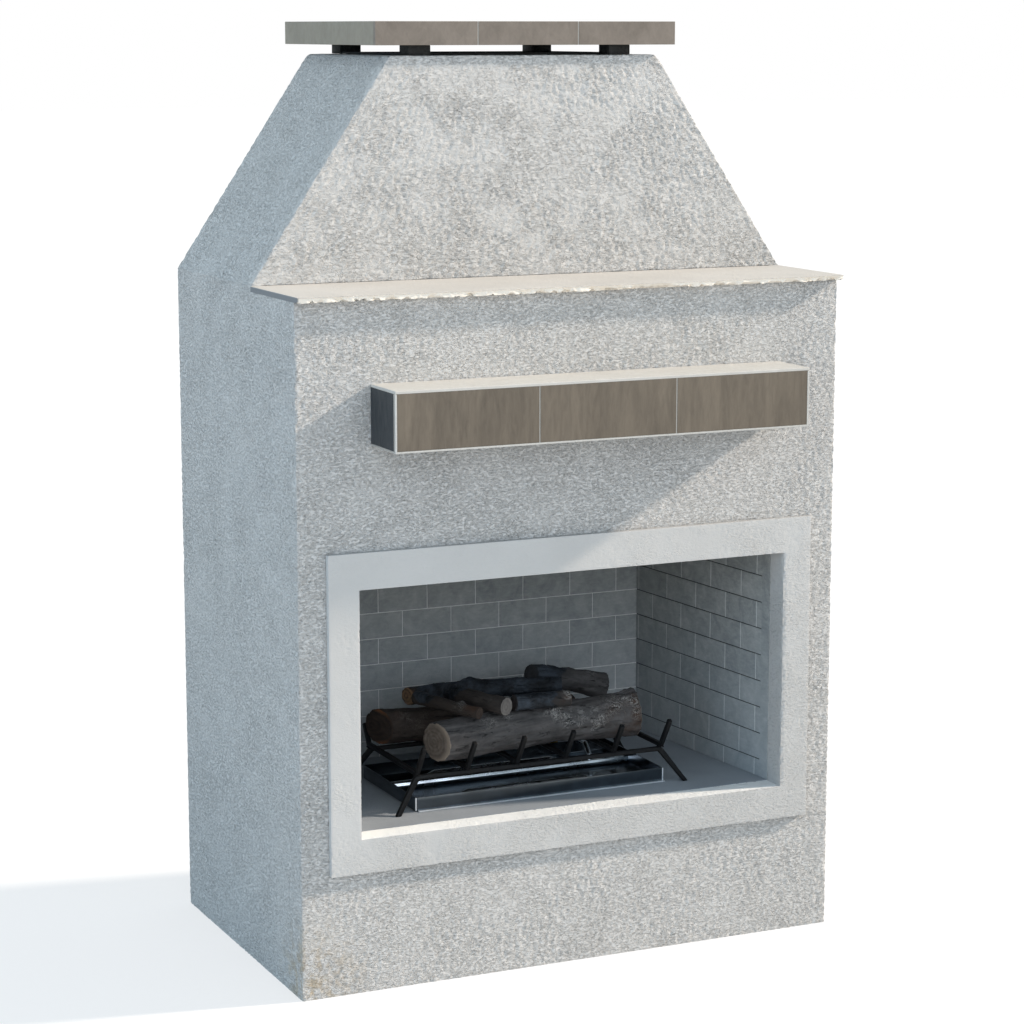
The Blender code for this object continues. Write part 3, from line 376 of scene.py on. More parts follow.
def cut_window(bm, low, high, axes, step):
    """Snap the grid to a window's four sides and drop the faces inside."""
    for axis in axes:
        for value in (low[axis], high[axis]):
            snap_line(bm, axis, value, step)
    drop_faces(bm, lambda at: all(low[axis] < at[axis] < high[axis] for axis in axes))


def give_depth(bm, vector, steps=1, edges=None):
    """Extrude the open rim in equal steps."""
    rim = edges or [edge for edge in bm.edges if edge.is_boundary]
    for _ in range(steps):
        grown = bmesh.ops.extrude_edge_only(bm, edges=rim)["geom"]
        points = [part for part in grown if isinstance(part, bmesh.types.BMVert)]
        rim = [part for part in grown if isinstance(part, bmesh.types.BMEdge) and part.is_boundary]
        bmesh.ops.translate(bm, verts=points, vec=vector / steps)
    return rim


print("grid helpers ready")


# %% Pieces
def make_piece(name, bm, finish, nodes=(), body="fireplace", sharp=55.0, turn_out=True):
    """Turn a finished bmesh into a piece that rides on a body and stands for CAD nodes."""
    if turn_out:
        bmesh.ops.recalc_face_normals(bm, faces=bm.faces)
    piece = mesh_object(name, bm, finish)
    piece.data.shade_smooth()
    piece.data.set_sharp_from_angle(angle=math.radians(sharp))
    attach(piece, body)
    if nodes:
        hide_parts(*nodes)
    print(name, len(piece.data.polygons), "faces")


def make_board(name, bm, rim, planes, finish, node, ring=False):
    """Close a board at its back, lay the coat on it and make it a piece."""
    if ring:
        bmesh.ops.bridge_loops(bm, edges=rim)
    else:
        bmesh.ops.holes_fill(bm, edges=rim, sides=0)
    lay_coat(bm, beneath(planes))
    make_piece(name, bm, finish, [node])


print("board helpers ready")

# %% [markdown]
# ### The finish of the coat
# Cement stucco is pale grey with faint patches; its pits are painted darker, as the shade that falls
# in them. The grid carries the lumps; a bump carries the sand in it, which is finer than a grid can be.

# %% Stucco finish
def stucco_finish(name, light, dark, grain_depth, patch_share, pit_shade_share=0.3, lean=(0.0, 0.0),
                  middle=0.55, calm=0.6, sunlit_struck_colour=(0.88, 0.895, 0.89)):
    """Sanded cement, rougher in patches, and more so along lean (per metre to the right and up).

    Marked points are painted: sunlit ones brighter (the ledge's struck edge is whiter too), shaded ones and
    those facing the sun darker."""
    finish, mat = start_finish(name, roughness=0.93, specular=0.25)
    place = mat.place()
    patches = mat.cloud(place, 5.0, 4.0, 0.55)
    drifts = mat.cloud(mat.place((0.6, 0.6, 2.2)), 3.0, 5.0, 0.6, 0.4)
    share = mat.scaled(mat.span(patches, 0.35, 0.68), patch_share, 0.0)
    share = mat.scaled(mat.span(drifts, 0.52, 0.78), 0.18, share)
    colour = mat.blend(mat.span(share, 0.0, 1.0), light, dark)
    parts = mat.node("SeparateXYZ", i0=place).outputs
    rough = mat.scaled(parts[0], lean[0], mat.cloud(place, 11.0, 3.0, 0.6))
    rough = mat.scaled(mat.math("SUBTRACT", parts[2], middle), lean[1], rough)
    rough = mat.span(rough, 0.34, 0.66, calm, 1.0)
    coarse = mat.cloud(mat.place((0.8, 0.8, 1.45)), 175.0, 3.5, 0.72, 0.3)
    # painted shade: the pits between the coarse lumps are painted darker
    painted_pit_shade = mat.times(mat.span(coarse, 0.45, 0.30), mat.times(rough, pit_shade_share))
    colour = mat.blend(painted_pit_shade, colour, darken(dark, 0.40))
    # painted shade on the side that faces the sun
    sun_side_darkening = mat.blend(mat.mark("sun_side_shade"), (1.0, 1.0, 1.0), (0.79, 0.80, 0.81))
    colour = mat.node("VectorMath", {"operation": "MULTIPLY"}, i0=colour, i1=sun_side_darkening).outputs[0]
    # painted sunlight: the sill and the ledge's front edge are brighter; on the ledge's edge partly a whiter
    # struck cement
    colour = mat.blend(mat.mark("sunlit_and_struck"), colour, sunlit_struck_colour)
    # painted shade: a dark grey on points marked as shaded
    colour = mat.blend(mat.mark("painted_shade"), colour, (0.25, 0.255, 0.26))
    sand = mat.cloud(place, 420.0, 2.0, 0.6)
    height = mat.scaled(sand, 0.28, mat.span(coarse, 0.28, 0.55))
    mat.end(colour, mat.times(height, rough), grain_depth)
    return finish


stucco = stucco_finish("sprayed_stucco", (0.70, 0.69, 0.67), (0.595, 0.585, 0.565), 0.0034, 0.18, 0.68,
                       calm=0.7)
hood_stucco = stucco_finish("sprayed_hood_stucco", (0.71, 0.695, 0.67), (0.60, 0.585, 0.56), 0.0036, 0.25, 0.78,
                            (0.10, -0.20), 1.55, 0.42)
print("stucco finish", len(stucco.node_tree.nodes), "nodes")

# %% Scuffs at the front left foot
FOOT = (-0.6095, -0.372, 0.03)
mat = Layers(stucco.node_tree)
colour_input = mat.shader.inputs["Base Color"]
clean = colour_input.links[0].from_socket
away = mat.node("VectorMath", {"operation": "DISTANCE"}, i0=mat.place(), i1=FOOT).outputs[1]
scuffs = mat.span(mat.cloud(mat.place(), 45.0, 4.0, 0.65), 0.44, 0.60)
scuffed = mat.times(mat.span(away, 0.16, 0.02), scuffs)
mat.feed(colour_input, mat.blend(scuffed, clean, (0.55, 0.47, 0.36)))
print("with scuffs", len(mat.tree.nodes), "nodes")

# %% [markdown]
# ### The boards
# Each board starts as its outer face. Its rim is drawn back by the board's thickness, the back is
# closed, and then the coat sinks into it.

# %% Front board
STEP = 0.0042
FRAME_SIDE, FRAME_SILL, FRAME_HEAD = 0.0545, 0.060, 0.0637
WINDOW_LOW = corners("opening_surround")[0] + Vector((FRAME_SIDE, 0, FRAME_SILL))
WINDOW_HIGH = corners("opening_surround")[1] - Vector((FRAME_SIDE, 0, FRAME_HEAD))
low, high = corners("front_board")
bm = lay_grid(low, Vector((high.x, low.y, LEDGE_UNDER)), "x", STEP)
cut_window(bm, WINDOW_LOW, WINDOW_HIGH, (0, 2), STEP)
rim = give_depth(bm, Vector((0, BOARD, 0)), 5)
make_board("stucco_front", bm, rim, BODY_PLANES, stucco, "front_board", ring=True)

# %% Side boards
SIDE_FRONT, SIDE_BACK = FRONT + BOARD, BACK - BOARD
for name, side in (("left", -1), ("right", 1)):
    x = side * HALF_WIDTH
    bm = lay_grid(Vector((x, SIDE_FRONT, 0)), Vector((x, SIDE_BACK, SHOULDER)), "y", STEP)
    snap_line(bm, 1, HOOD_FRONT, STEP)
    snap_line(bm, 2, LEDGE_UNDER, STEP)
    drop_faces(bm, lambda at: at.y < HOOD_FRONT and at.z > LEDGE_UNDER)
    rim = give_depth(bm, Vector((-side * BOARD, 0, 0)))
    make_board("stucco_" + name, bm, rim, BODY_PLANES, stucco, name + "_board")

# %% Back board
BACK_STEP = 0.0055


def taper(bm):
    """Draw a grid in to the hood's outline above the shoulder."""
    for vertex in bm.verts:
        over = max(vertex.co.z - SHOULDER, 0)
        vertex.co.x *= (HALF_WIDTH - LEAN * over) / HALF_WIDTH


bm = lay_grid(Vector((-HALF_WIDTH, BACK, 0)), Vector((HALF_WIDTH, BACK, LID_UNDER)), "x", BACK_STEP)
snap_line(bm, 2, SHOULDER, BACK_STEP)
taper(bm)
rim = give_depth(bm, Vector((0, -BOARD, 0)), 4)
make_board("stucco_back", bm, rim, BODY_PLANES, stucco, "back_board")

# %% Hood
low, high = Vector((-HALF_WIDTH, HOOD_FRONT, SHOULDER)), Vector((HALF_WIDTH, HOOD_FRONT, LID_UNDER))
bm = lay_grid(low, high, "x", STEP)
taper(bm)
rim = give_depth(bm, Vector((0, BOARD, 0)), 5)
make_board("hood_stucco_front", bm, rim, HOOD_PLANES, hood_stucco, "hood_front_board")
for name, side in (("left", -1), ("right", 1)):
    x = side * HALF_WIDTH
    low, high = Vector((x, HOOD_FRONT + BOARD, SHOULDER)), Vector((x, SIDE_BACK, LID_UNDER))
    bm = lay_grid(low, high, "y", STEP, lengthen=1 / SLANT.x)
    taper(bm)
    rim = give_depth(bm, Vector((-side * BOARD / SLANT.x, 0, 0)))
    make_board("hood_stucco_" + name, bm, rim, HOOD_PLANES, stucco, "hood_%s_board" % name)

# %% Hood lid
LID_STEP, LID_FLARE = 0.006, 0.04
low, high = corners("hood_top_board")
flue_low, flue_high = corners("flue_duct")
bm = lay_grid(Vector((low.x, low.y, high.z)), high, "flat", LID_STEP)
cut_window(bm, flue_low, flue_high, (0, 1), LID_STEP)
rim = give_depth(bm, Vector((0, 0, low.z - high.z)), 2)
for vertex in bm.verts:
    if abs(vertex.co.x) > flue_high.x + LID_STEP:
        vertex.co.x *= 1 + LID_FLARE * (high.z - vertex.co.z) / (high.z - low.z)
make_board("hood_stucco_lid", bm, rim, HOOD_PLANES, stucco, "hood_top_board", ring=True)

# %% [markdown]
# ## Ledge
# A thin slab of smooth cream cement covers the shoulder in front of the hood. Its top is trowelled,
# its front edge was struck by hand: crumbs hang from it and pieces have broken away.

# %% Ledge slab
cream_cement = stucco_finish("cream_cement", (0.59, 0.565, 0.53), (0.51, 0.485, 0.45), 0.0004, 0.6, 0.1,
                             sunlit_struck_colour=(0.98, 0.90, 0.79))
CRUMB = 0.003
low, high = corners("ledge_slab")
bm = lay_grid(Vector((low.x, low.y, high.z)), high, "flat", CRUMB)
rim = give_depth(bm, Vector((0, 0, low.z - high.z)), 5)
bmesh.ops.holes_fill(bm, edges=rim, sides=0)
sunlit_and_struck = bm.verts.layers.float.new("sunlit_and_struck")
painted_shade = bm.verts.layers.float.new("painted_shade")
for vertex in bm.verts:
    x, y, z = vertex.co
    drop = (high.z - z) / (high.z - low.z)
    # the ledge's front edge is painted whiter and warmer: partly its struck cement, partly painted sunlight
    vertex[sunlit_and_struck] = fade(y - low.y, 0.004, 0.0) * fade(drop, 0.0, 0.1)
    # painted shade on the ledge's left end, which faces away from the sun
    vertex[painted_shade] = fade(x - low.x, 0.003, 0.0) * fade(drop, 0.0, 0.1)
    near = fade(y - low.y, 0.016, 0.0)
    wander = 0.5 + 0.5 * noise_at(x * 33, drop * 0.6, 1.7)
    crumbs = 0.5 + 0.5 * noise_at(x * 120, z * 200, 4.1)
    broken = fade(noise_at(x * 42, 3.3, drop * 1.2) + 0.25 * x, 0.02, 0.40)
    back = 0.0015 + 0.003 * wander + 0.004 * crumbs * fade(drop, 0.0, 0.3)
    back += 0.011 * broken * fade(drop, 0.25, 1.0)
    vertex.co.y += near * back
    if drop < 0.01:
        vertex.co.z -= 0.0004 + near * 0.0022 * crumbs + 0.0006 * wander
    if drop > 0.5:
        teeth = noise_at(x * 75, 8.1, 2.2) + 0.5 * noise_at(x * 210, 1.4, 7.0)
        vertex.co.z += near * (drop - 0.5) * 0.009 * fade(teeth, -0.1, 0.45)
make_piece("ledge_ragged_slab", bm, cream_cement, ["ledge_slab"])

# %% [markdown]
# ## Surround
# The picture frame round the opening is trowelled smooth, with fine pits where sand rolled out
# under the trowel. Its sleeve lines the opening as far as the brick panels.

# %% Surround
smooth_stucco = stucco_finish("trowelled_cement", (0.62, 0.615, 0.60), (0.54, 0.535, 0.52), 0.0014, 0.5, 0.30,
                              (0.35, -0.55), 0.52, 0.15)
low, high = corners("opening_surround")
SLEEVE = 0.012
hole_low = Vector((WINDOW_LOW.x + SLEEVE, low.y, WINDOW_LOW.z + SLEEVE))
hole_high = Vector((WINDOW_HIGH.x - SLEEVE, low.y, WINDOW_HIGH.z - SLEEVE))


def surround_sides(place):
    """How far a place lies beneath the frame's face, its rim and its returns."""
    x, y, z = place
    returns = [(Vector((1, 0, 0)), hole_low.x - x), (Vector((-1, 0, 0)), x - hole_high.x)]
    returns += [(Vector((0, 0, 1)), hole_low.z - z), (Vector((0, 0, -1)), z - hole_high.z)]
    sides = [(Vector((0, -1, 0)), y - low.y), max(returns, key=lambda pair: pair[1])]
    if y < FRONT:
        sides += [(Vector((-1, 0, 0)), x - low.x), (Vector((1, 0, 0)), high.x - x)]
        sides += [(Vector((0, 0, -1)), z - low.z), (Vector((0, 0, 1)), high.z - z)]
    return sides


def trowelled_depth(place):
    """Shallow: a slow waviness and scattered pits, more of them low down and to the right."""
    x, y, z = place
    pits = noise_at(x * 210, y * 210, z * 240)
    where = noise_at(x * 9, y * 9, z * 14) + 0.6 * x - 0.9 * (z - 0.58)
    waves = noise.noise(place * 30)
    beside = hole_low.z < z < hole_high.z
    arris = beside * fade(abs(x - hole_high.x) + (y - low.y), 0.007, 0.003) * fade(pits, -0.1, 0.2)
    pitted = fade(pits, 0.24, 0.46) * fade(where, -0.35, 0.45)
    return 0.0002 + 0.0003 * (0.5 + 0.5 * waves) + 0.0009 * pitted + 0.0016 * arris


def in_window(at):
    """Whether a place lies inside the outline of the boards' opening."""
    return WINDOW_LOW.x < at.x < WINDOW_HIGH.x and WINDOW_LOW.z < at.z < WINDOW_HIGH.z


FINE, SEAM, FRAME_ROUNDING = 0.003, 0.0003, 0.0013
bm = lay_grid(low, Vector((high.x, low.y, high.z)), "x", FINE)
cut_window(bm, hole_low, hole_high, (0, 2), FINE)
rims = [edge for edge in bm.edges if edge.is_boundary]
inner = [edge for edge in rims if in_window(edge.verts[0].co)]
outer = [edge for edge in rims if not in_window(edge.verts[0].co)]
inner = give_depth(bm, Vector((0, high.y - low.y, 0)), 18, inner)
outer = give_depth(bm, Vector((0, FRONT - SEAM - low.y, 0)), 4, outer)
outer = give_depth(bm, Vector((0, 0, 0)), 1, outer)
for vertex in {vertex for edge in outer for vertex in edge.verts}:
    vertex.co.x = min(max(vertex.co.x, WINDOW_LOW.x), WINDOW_HIGH.x)
    vertex.co.z = min(max(vertex.co.z, WINDOW_LOW.z), WINDOW_HIGH.z)
outer = give_depth(bm, Vector((0, high.y - FRONT + SEAM, 0)), 1, outer)
bmesh.ops.bridge_loops(bm, edges=outer + inner)
bmesh.ops.remove_doubles(bm, verts=bm.verts, dist=0.0001)
lay_coat(bm, surround_sides, trowelled_depth, FRAME_ROUNDING)
sunlit_and_struck = bm.verts.layers.float.new("sunlit_and_struck")
painted_shade = bm.verts.layers.float.new("painted_shade")
for vertex in bm.verts:
    x, y, z = vertex.co
    inside = hole_low.x < x < hole_high.x and low.y + 0.0015 < y
    # painted sunlight on the sill inside the opening
    vertex[sunlit_and_struck] = float(inside and abs(z - hole_low.z) < 0.002)
    on_rim = x > high.x - 0.002 or z > high.z - 0.002
    # painted shade on the frame's outer top and right rims, which face the sun
    vertex[painted_shade] = 0.5 * float(on_rim and low.y + 0.0015 < y < FRONT)
make_piece("surround_frame", bm, smooth_stucco, ["opening_surround"])

# %% [markdown]
# ## Brick panels
# The firebox is lined with pressed panels that look like running-bond brick. Each panel is a
# backing slab in the joints' colour with bevelled bricks standing a little proud of it. The side
# panels have pale head joints, bed joints painted dark as the shade in them and a plain strip along
# the front edge. Every brick has its own tone from 0 to 1; the tone -1 marks a pale joint and -2 a
# joint painted dark as shade.

# %% Brick finish
firebrick, mat = start_finish("pressed_firebrick", roughness=0.9, specular=0.2)
tone = mat.mark("tone")
place = mat.place()
blotches = mat.cloud(place, 26.0, 6.0, 0.70, 0.8)
drifts = mat.cloud(mat.place((1, 1, 3)), 60.0, 3.0, 0.6)
share = mat.scaled(tone, 0.35, mat.span(blotches, 0.35, 0.70, 0.0, 0.45))
share = mat.math("ADD", share, mat.span(drifts, 0.45, 0.75, 0.0, 0.20))
brick_colour = mat.blend(share, (0.20, 0.215, 0.215), (0.56, 0.565, 0.54))
# painted skylight: lower down the bricks are painted lighter and bluer, as the sky through the opening lights
# them
height = mat.node("SeparateXYZ", i0=place).outputs[2]
brick_colour = mat.blend(mat.span(height, 0.80, 0.36, 0.0, 0.42), brick_colour, (0.47, 0.52, 0.56))
joint_colour = mat.blend(drifts, (0.66, 0.67, 0.66), (0.80, 0.81, 0.79))
# painted shade: the side panels' bed joints are near black
joint_colour = mat.blend(mat.span(tone, -1.5, -1.9), joint_colour, (0.09, 0.09, 0.09))
brick_colour = mat.blend(mat.span(tone, -0.5, -0.9), brick_colour, joint_colour)
pores = mat.cloud(place, 320.0, 3.0, 0.6)
mat.end(brick_colour, mat.math("ADD", pores, blotches), 0.0009)
print("firebrick", len(mat.tree.nodes), "nodes")

# %% Bars and bricks
PITCH, COURSE, GAP, PROUD = 0.118, 0.058, 0.0020, 0.0014
FIRST_BED, BRICK_DEPTH, BRICK_BEVEL = 0.3647, PROUD + 0.001, 0.0011
PALE_JOINT, PAINTED_SHADE_JOINT, STRIP_TONE = -1.0, -2.0, 0.4
TINY = 1e-6


def bevel(bm, edges, width, segments=1, **options):
    """Round or chamfer edges. Gives back what was made."""
    return bmesh.ops.bevel(bm, geom=edges, offset=width, segments=segments, profile=0.5, affect="EDGES",
                           material=-1, **options)


def edges_of(verts):
    """The edges at some points, each one once."""
    return list(dict.fromkeys(edge for vertex in verts for edge in vertex.link_edges))


def add_bar(bm, low, high, chamfer=0.0):
    """A box between two corners, with its edges chamfered if asked."""
    low, high = Vector(low), Vector(high)
    place = Matrix.Translation((low + high) / 2) @ Matrix.Diagonal((*(high - low), 1))
    verts = bmesh.ops.create_cube(bm, size=1.0, matrix=place)["verts"]
    if chamfer:
        bevel(bm, edges_of(verts), chamfer)
    return verts


def add_toned_bar(bm, layer, tone, low, high):
    """A box whose points all carry one tone."""
    for vertex in add_bar(bm, low, high):
        vertex[layer] = tone


def add_brick(bm, layer, tone, low, high, square_at):
    """A brick with a bevelled face. Its edge at square_at, beside a plain strip, stays square."""
    verts = add_bar(bm, low, high)
    edges = [edge for edge in edges_of(verts) if all(end.co.y < TINY for end in edge.verts)]
    if square_at is not None:
        edges = [edge for edge in edges if any(abs(end.co.x - square_at) > TINY for end in edge.verts)]
    made = bevel(bm, edges, BRICK_BEVEL, 2)
    for vertex in set(verts) | set(made["verts"]):
        if vertex.is_valid:
            vertex[layer] = tone


def lay_bricks(bm, layer, start, end, bottom, top, phases, margin=0.0):
    """Brick courses in their panel's own plane: x along it, z up, faces at y 0 looking to -y."""
    square_at = start + margin if margin else None
    course = math.floor((bottom - FIRST_BED) / COURSE)
    while FIRST_BED + course * COURSE < top - GAP:
        z0 = max(FIRST_BED + course * COURSE + GAP / 2, bottom)
        z1 = min(FIRST_BED + (course + 1) * COURSE - GAP / 2, top)
        joint = phases[course % 2] - PITCH * math.ceil((phases[course % 2] - start) / PITCH)
        while joint < end and z1 - z0 > 2 * GAP:
            x0, x1 = max(joint + GAP / 2, start + margin), min(joint + PITCH - GAP / 2, end)
            if x1 - x0 > 3 * GAP:
                tone = 0.5 + 0.5 * noise_at(joint * 31.7, course * 5.3, start + end * 9)
                add_brick(bm, layer, tone, (x0, 0, z0), (x1, BRICK_DEPTH, z1), square_at)
                if margin and joint > start + margin:
                    low, high = (joint - GAP / 2, PROUD / 2, z0), (x0, BRICK_DEPTH, z1)
                    add_toned_bar(bm, layer, PALE_JOINT, low, high)
            joint += PITCH
        course += 1


print("bricks, mm:", round(1000 * (PITCH - GAP), 1), "by", round(1000 * (COURSE - GAP), 1))


# %% Brick panels
def brick_panel(name, start, end, thickness, phases, place, margin=0.0, back=None):
    """One panel, laid out flat, moved to its place in the firebox and cut off at the back."""
    low, high = corners(name)
    bm = bmesh.new()
    layer = bm.verts.layers.float.new("tone")
    joint_tone = PAINTED_SHADE_JOINT if margin else PALE_JOINT
    add_toned_bar(bm, layer, joint_tone, (start, PROUD, low.z), (end, thickness, high.z))
    if margin:
        add_toned_bar(bm, layer, STRIP_TONE, (start, 0, low.z), (start + margin, BRICK_DEPTH, high.z))
    lay_bricks(bm, layer, start, end, low.z, high.z, phases, margin)
    bmesh.ops.transform(bm, matrix=place, verts=bm.verts)
    if back is not None:
        parts = bm.verts[:] + bm.edges[:] + bm.faces[:]
        bmesh.ops.bisect_plane(bm, geom=parts, plane_co=(0, back, 0), plane_no=(0, 1, 0), clear_outer=True)
        bmesh.ops.holes_fill(bm, edges=[edge for edge in bm.edges if edge.is_boundary], sides=0)
    make_piece(name + "_bricks", bm, firebrick, [name], sharp=14.0)


low, high = corners("firebox_back_panel")
brick_panel("firebox_back_panel", low.x, high.x, high.y - low.y, (-0.1500, -0.2080),
            Matrix.Translation((0, low.y, 0)))
SPLAY = math.radians(5.2)
MOUTH_X, MOUTH_Y = 0.4825, -0.3159
SIDE_LENGTH, SIDE_THICKNESS, STRIP = 0.5301, 0.032, 0.0285
for name, side in (("firebox_left_panel", -1), ("firebox_right_panel", 1)):
    turn = Matrix((
        (-side * math.sin(SPLAY), side * math.cos(SPLAY), 0, side * MOUTH_X),
        (math.cos(SPLAY), math.sin(SPLAY), 0, MOUTH_Y), (0, 0, 1, 0), (0, 0, 0, 1),
    ))
    brick_panel(name, 0, SIDE_LENGTH, SIDE_THICKNESS, (0.1075, 0.0485), turn, STRIP, corners(name)[1].y)

# %% [markdown]
# ## Mantel and chimney cap
# Both are clad in brown porcelain with a clouded, slightly streaked print. The tiles come from the
# CAD nodes. Added here are the thin metal strips that finish the mantel's edges and the pale
# grout in the joints.

# %% Tiles
def tile_finish(name, light, dark, streak, pitch=2.0, shift=0.5):
    """Clouded porcelain. Each tile of a row takes its own part of the pattern."""
    finish, mat = start_finish(name, roughness=0.42, specular=0.45)
    coordinates = mat.node("TexCoord").outputs["Object"]
    along = mat.node("SeparateXYZ", i0=coordinates).outputs[0]
    number = mat.math("FLOOR", mat.scaled(along, 1 / pitch, shift))
    offset = mat.node("CombineXYZ", i2=mat.times(number, 7.31)).outputs[0]
    moved = mat.node("VectorMath", i0=coordinates, i1=offset).outputs[0]
    place = mat.node("Mapping", Vector=moved, Scale=streak).outputs[0]
    soft = mat.cloud(place, 4.0, 6.0, 0.62, 1.2)
    fine = mat.cloud(place, 26.0, 4.0, 0.65, 0.6)
    share = mat.scaled(mat.span(fine, 0.35, 0.68), 0.4, mat.span(soft, 0.34, 0.66, 0.0, 0.6))
    colour = mat.blend(share, light, dark)
    mat.end(colour, fine, 0.0002, mat.span(fine, 0.3, 0.7, 0.36, 0.52))
    return finish


def finish_nodes(finish, *names):
    """Give carried-over CAD nodes their finish."""
    for name in names:
        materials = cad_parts[name].data.materials
        materials.clear()
        materials.append(finish)


MANTEL_ROW = ["mantel_left_tile", "mantel_middle_tile", "mantel_right_tile"]
CAP_ROW = ["cap_left_tile", "cap_middle_tile", "cap_right_tile"]
finish_nodes(tile_finish("brown_porcelain", (0.205, 0.168, 0.126), (0.112, 0.091, 0.068), (4.2, 4.2, 0.8),
                         0.305, 1.4672), *MANTEL_ROW)
finish_nodes(tile_finish("cap_porcelain", (0.27, 0.228, 0.19), (0.175, 0.146, 0.119), (2.4, 2.4, 1.6),
                         0.2283, 1.5), *CAP_ROW)
finish_nodes(tile_finish("cap_end_porcelain", (0.31, 0.275, 0.215), (0.26, 0.23, 0.18), (2.4, 2.4, 1.6)),
             "cap_left_end_tile", "cap_right_end_tile")
# painted shade: the mantel's ends take a much darker, bluer copy of the brown porcelain, as the shade they
# stand in
finish_nodes(tile_finish("mantel_end_shade_porcelain", (0.040, 0.046, 0.052), (0.022, 0.027, 0.031), (3.4, 3.4, 0.9)),
             "mantel_left_end_tile", "mantel_right_end_tile")
finish_nodes(tile_finish("cream_porcelain", (0.65, 0.63, 0.59), (0.56, 0.54, 0.50), (2.0, 2.0, 2.0)),
             "mantel_top_tile")
print("tiles finished", len(MANTEL_ROW) + len(CAP_ROW) + 5)

# %% Trims and grout
trim_metal, mat = start_finish("brushed_edge_trim", roughness=0.38, metallic=0.85)
brushed = mat.cloud(mat.place((8, 8, 8)), 40.0, 3.0, 0.6)
colour = mat.blend(brushed, (0.62, 0.60, 0.56), (0.80, 0.79, 0.76))
mat.end(colour, gloss=mat.span(brushed, 0.3, 0.7, 0.3, 0.5))
grout, mat = start_finish("pale_grout", roughness=0.95, specular=0.1)
grains = mat.cloud(mat.place(), 300.0, 2.0)
mat.end(mat.blend(grains, (0.42, 0.40, 0.37), (0.56, 0.54, 0.50)), grains, 0.0003)

TRIM_WIDTH, TRIM_BEVEL = 0.009, 0.0005
GROUT_DEPTH, GROUT_BEVEL = 0.0004, 0.0001
face_low, face_high = corners("mantel_left_tile")[0], corners("mantel_right_tile")[1]
top_low, top_high = corners("mantel_top_tile")
bottom = corners("mantel_core")[0].z
bars = [((top_low.x, face_low.y, bottom), (top_high.x, face_high.y, face_low.z))]
for x0, x1 in ((top_low.x, face_low.x), (face_high.x, top_high.x)):
    bars.append(((x0, face_low.y, face_low.z), (x1, face_high.y, face_high.z)))
for x0, x1 in ((top_low.x, top_low.x + TRIM_WIDTH), (top_high.x - TRIM_WIDTH, top_high.x)):
    bars.append(((x0, face_high.y, bottom), (x1, top_high.y, face_low.z)))
bm = bmesh.new()
for low, high in bars:
    add_bar(bm, low, high, TRIM_BEVEL)
make_piece("mantel_edge_trims", bm, trim_metal, sharp=30.0)


def grout_row(name, tiles):
    """Grout between the neighbours of a row, a little behind the tiles' faces."""
    bm = bmesh.new()
    for left, right in zip(tiles, tiles[1:]):
        a, b = corners(left)[1], corners(right)[0]
        add_bar(bm, (a.x, b.y + GROUT_DEPTH, b.z), (b.x, a.y, a.z), GROUT_BEVEL)
    make_piece(name, bm, grout, sharp=30.0)


grout_row("mantel_grout", MANTEL_ROW)
grout_row("cap_grout", CAP_ROW)

# %% [markdown]
# ## Steel, iron and the hidden pieces
# The pan is a folded tray in dark glossy steel that mirrors the sky. Its lip, corner seams and
# pressed ribs take a pale steel as painted highlights. The grate is square bar, welded and brushed
# black, with dust on top. Edges are broken a little, because a folded or cut edge that catches the
# light is what the eye reads as metal.

# %% Metal finishes
def metal_finish(name, light, dark, roughness, metallic, grain=0.0004, dust=0.15, specular=0.5):
    """Painted or mill-finish metal: a mottled colour, uneven gloss, and dust."""
    finish, mat = start_finish(name, roughness, metallic, specular)
    place = mat.place()
    mottle = mat.cloud(place, 14.0, 5.0, 0.6, 0.3)
    fine = mat.cloud(place, 180.0, 3.0, 0.6)
    colour = mat.blend(mat.span(mottle, 0.35, 0.65), light, dark)
    dusty = mat.times(mat.span(mat.times(mottle, fine), 0.22, 0.42), dust)
    colour = mat.blend(dusty, colour, (0.22, 0.21, 0.19))
    gloss = mat.span(mottle, 0.3, 0.7, roughness - 0.08, roughness + 0.10)
    mat.end(colour, fine, grain, gloss)
    return finish


pan_steel = metal_finish("dark_pan_steel", (0.15, 0.175, 0.20), (0.09, 0.105, 0.12), 0.15, 1.0, 0.00005, 0.1)
# pale steel: the burner tube's own stainless, and on the pressed ribs a painted sheen
stainless_and_rib_sheen = metal_finish("stainless_and_painted_rib_sheen", (0.74, 0.79, 0.84), (0.58, 0.63, 0.68), 0.24, 1.0, 0.00005, 0.1)
# painted highlight for the pan's folded lip and corner seams
pan_edge_highlight = metal_finish("pan_edge_painted_highlight", (0.80, 0.84, 0.88), (0.62, 0.66, 0.70), 0.42, 0.6, 0.00005, 0.1)
grate_iron = metal_finish("black_bar_iron", (0.008, 0.009, 0.010), (0.005, 0.005, 0.006), 0.40, 0.0, 0.0004,
                          0.04, 0.14)
flue_black = metal_finish("matt_flue_black", (0.036, 0.035, 0.031), (0.020, 0.019, 0.017), 0.60, 0.1, 0.0002,
                          0.2, 0.3)
galvanised = metal_finish("galvanised_steel", (0.50, 0.52, 0.54), (0.38, 0.40, 0.42), 0.40, 0.9, 0.0001, 0.15)
black_pipe = metal_finish("black_iron_pipe", (0.030, 0.030, 0.031), (0.018, 0.018, 0.018), 0.48, 0.5, 0.0003,
                          0.2)
brass = metal_finish("plain_brass", (0.62, 0.44, 0.17), (0.48, 0.33, 0.12), 0.32, 1.0, 0.0001, 0.2)
board_grey = stucco_finish("cement_board", (0.40, 0.40, 0.39), (0.32, 0.32, 0.31), 0.0004, 0.5)
hearth_grey = stucco_finish("hearth_cement", (0.32, 0.35, 0.385), (0.24, 0.265, 0.29), 0.0005, 0.7, 0.1)
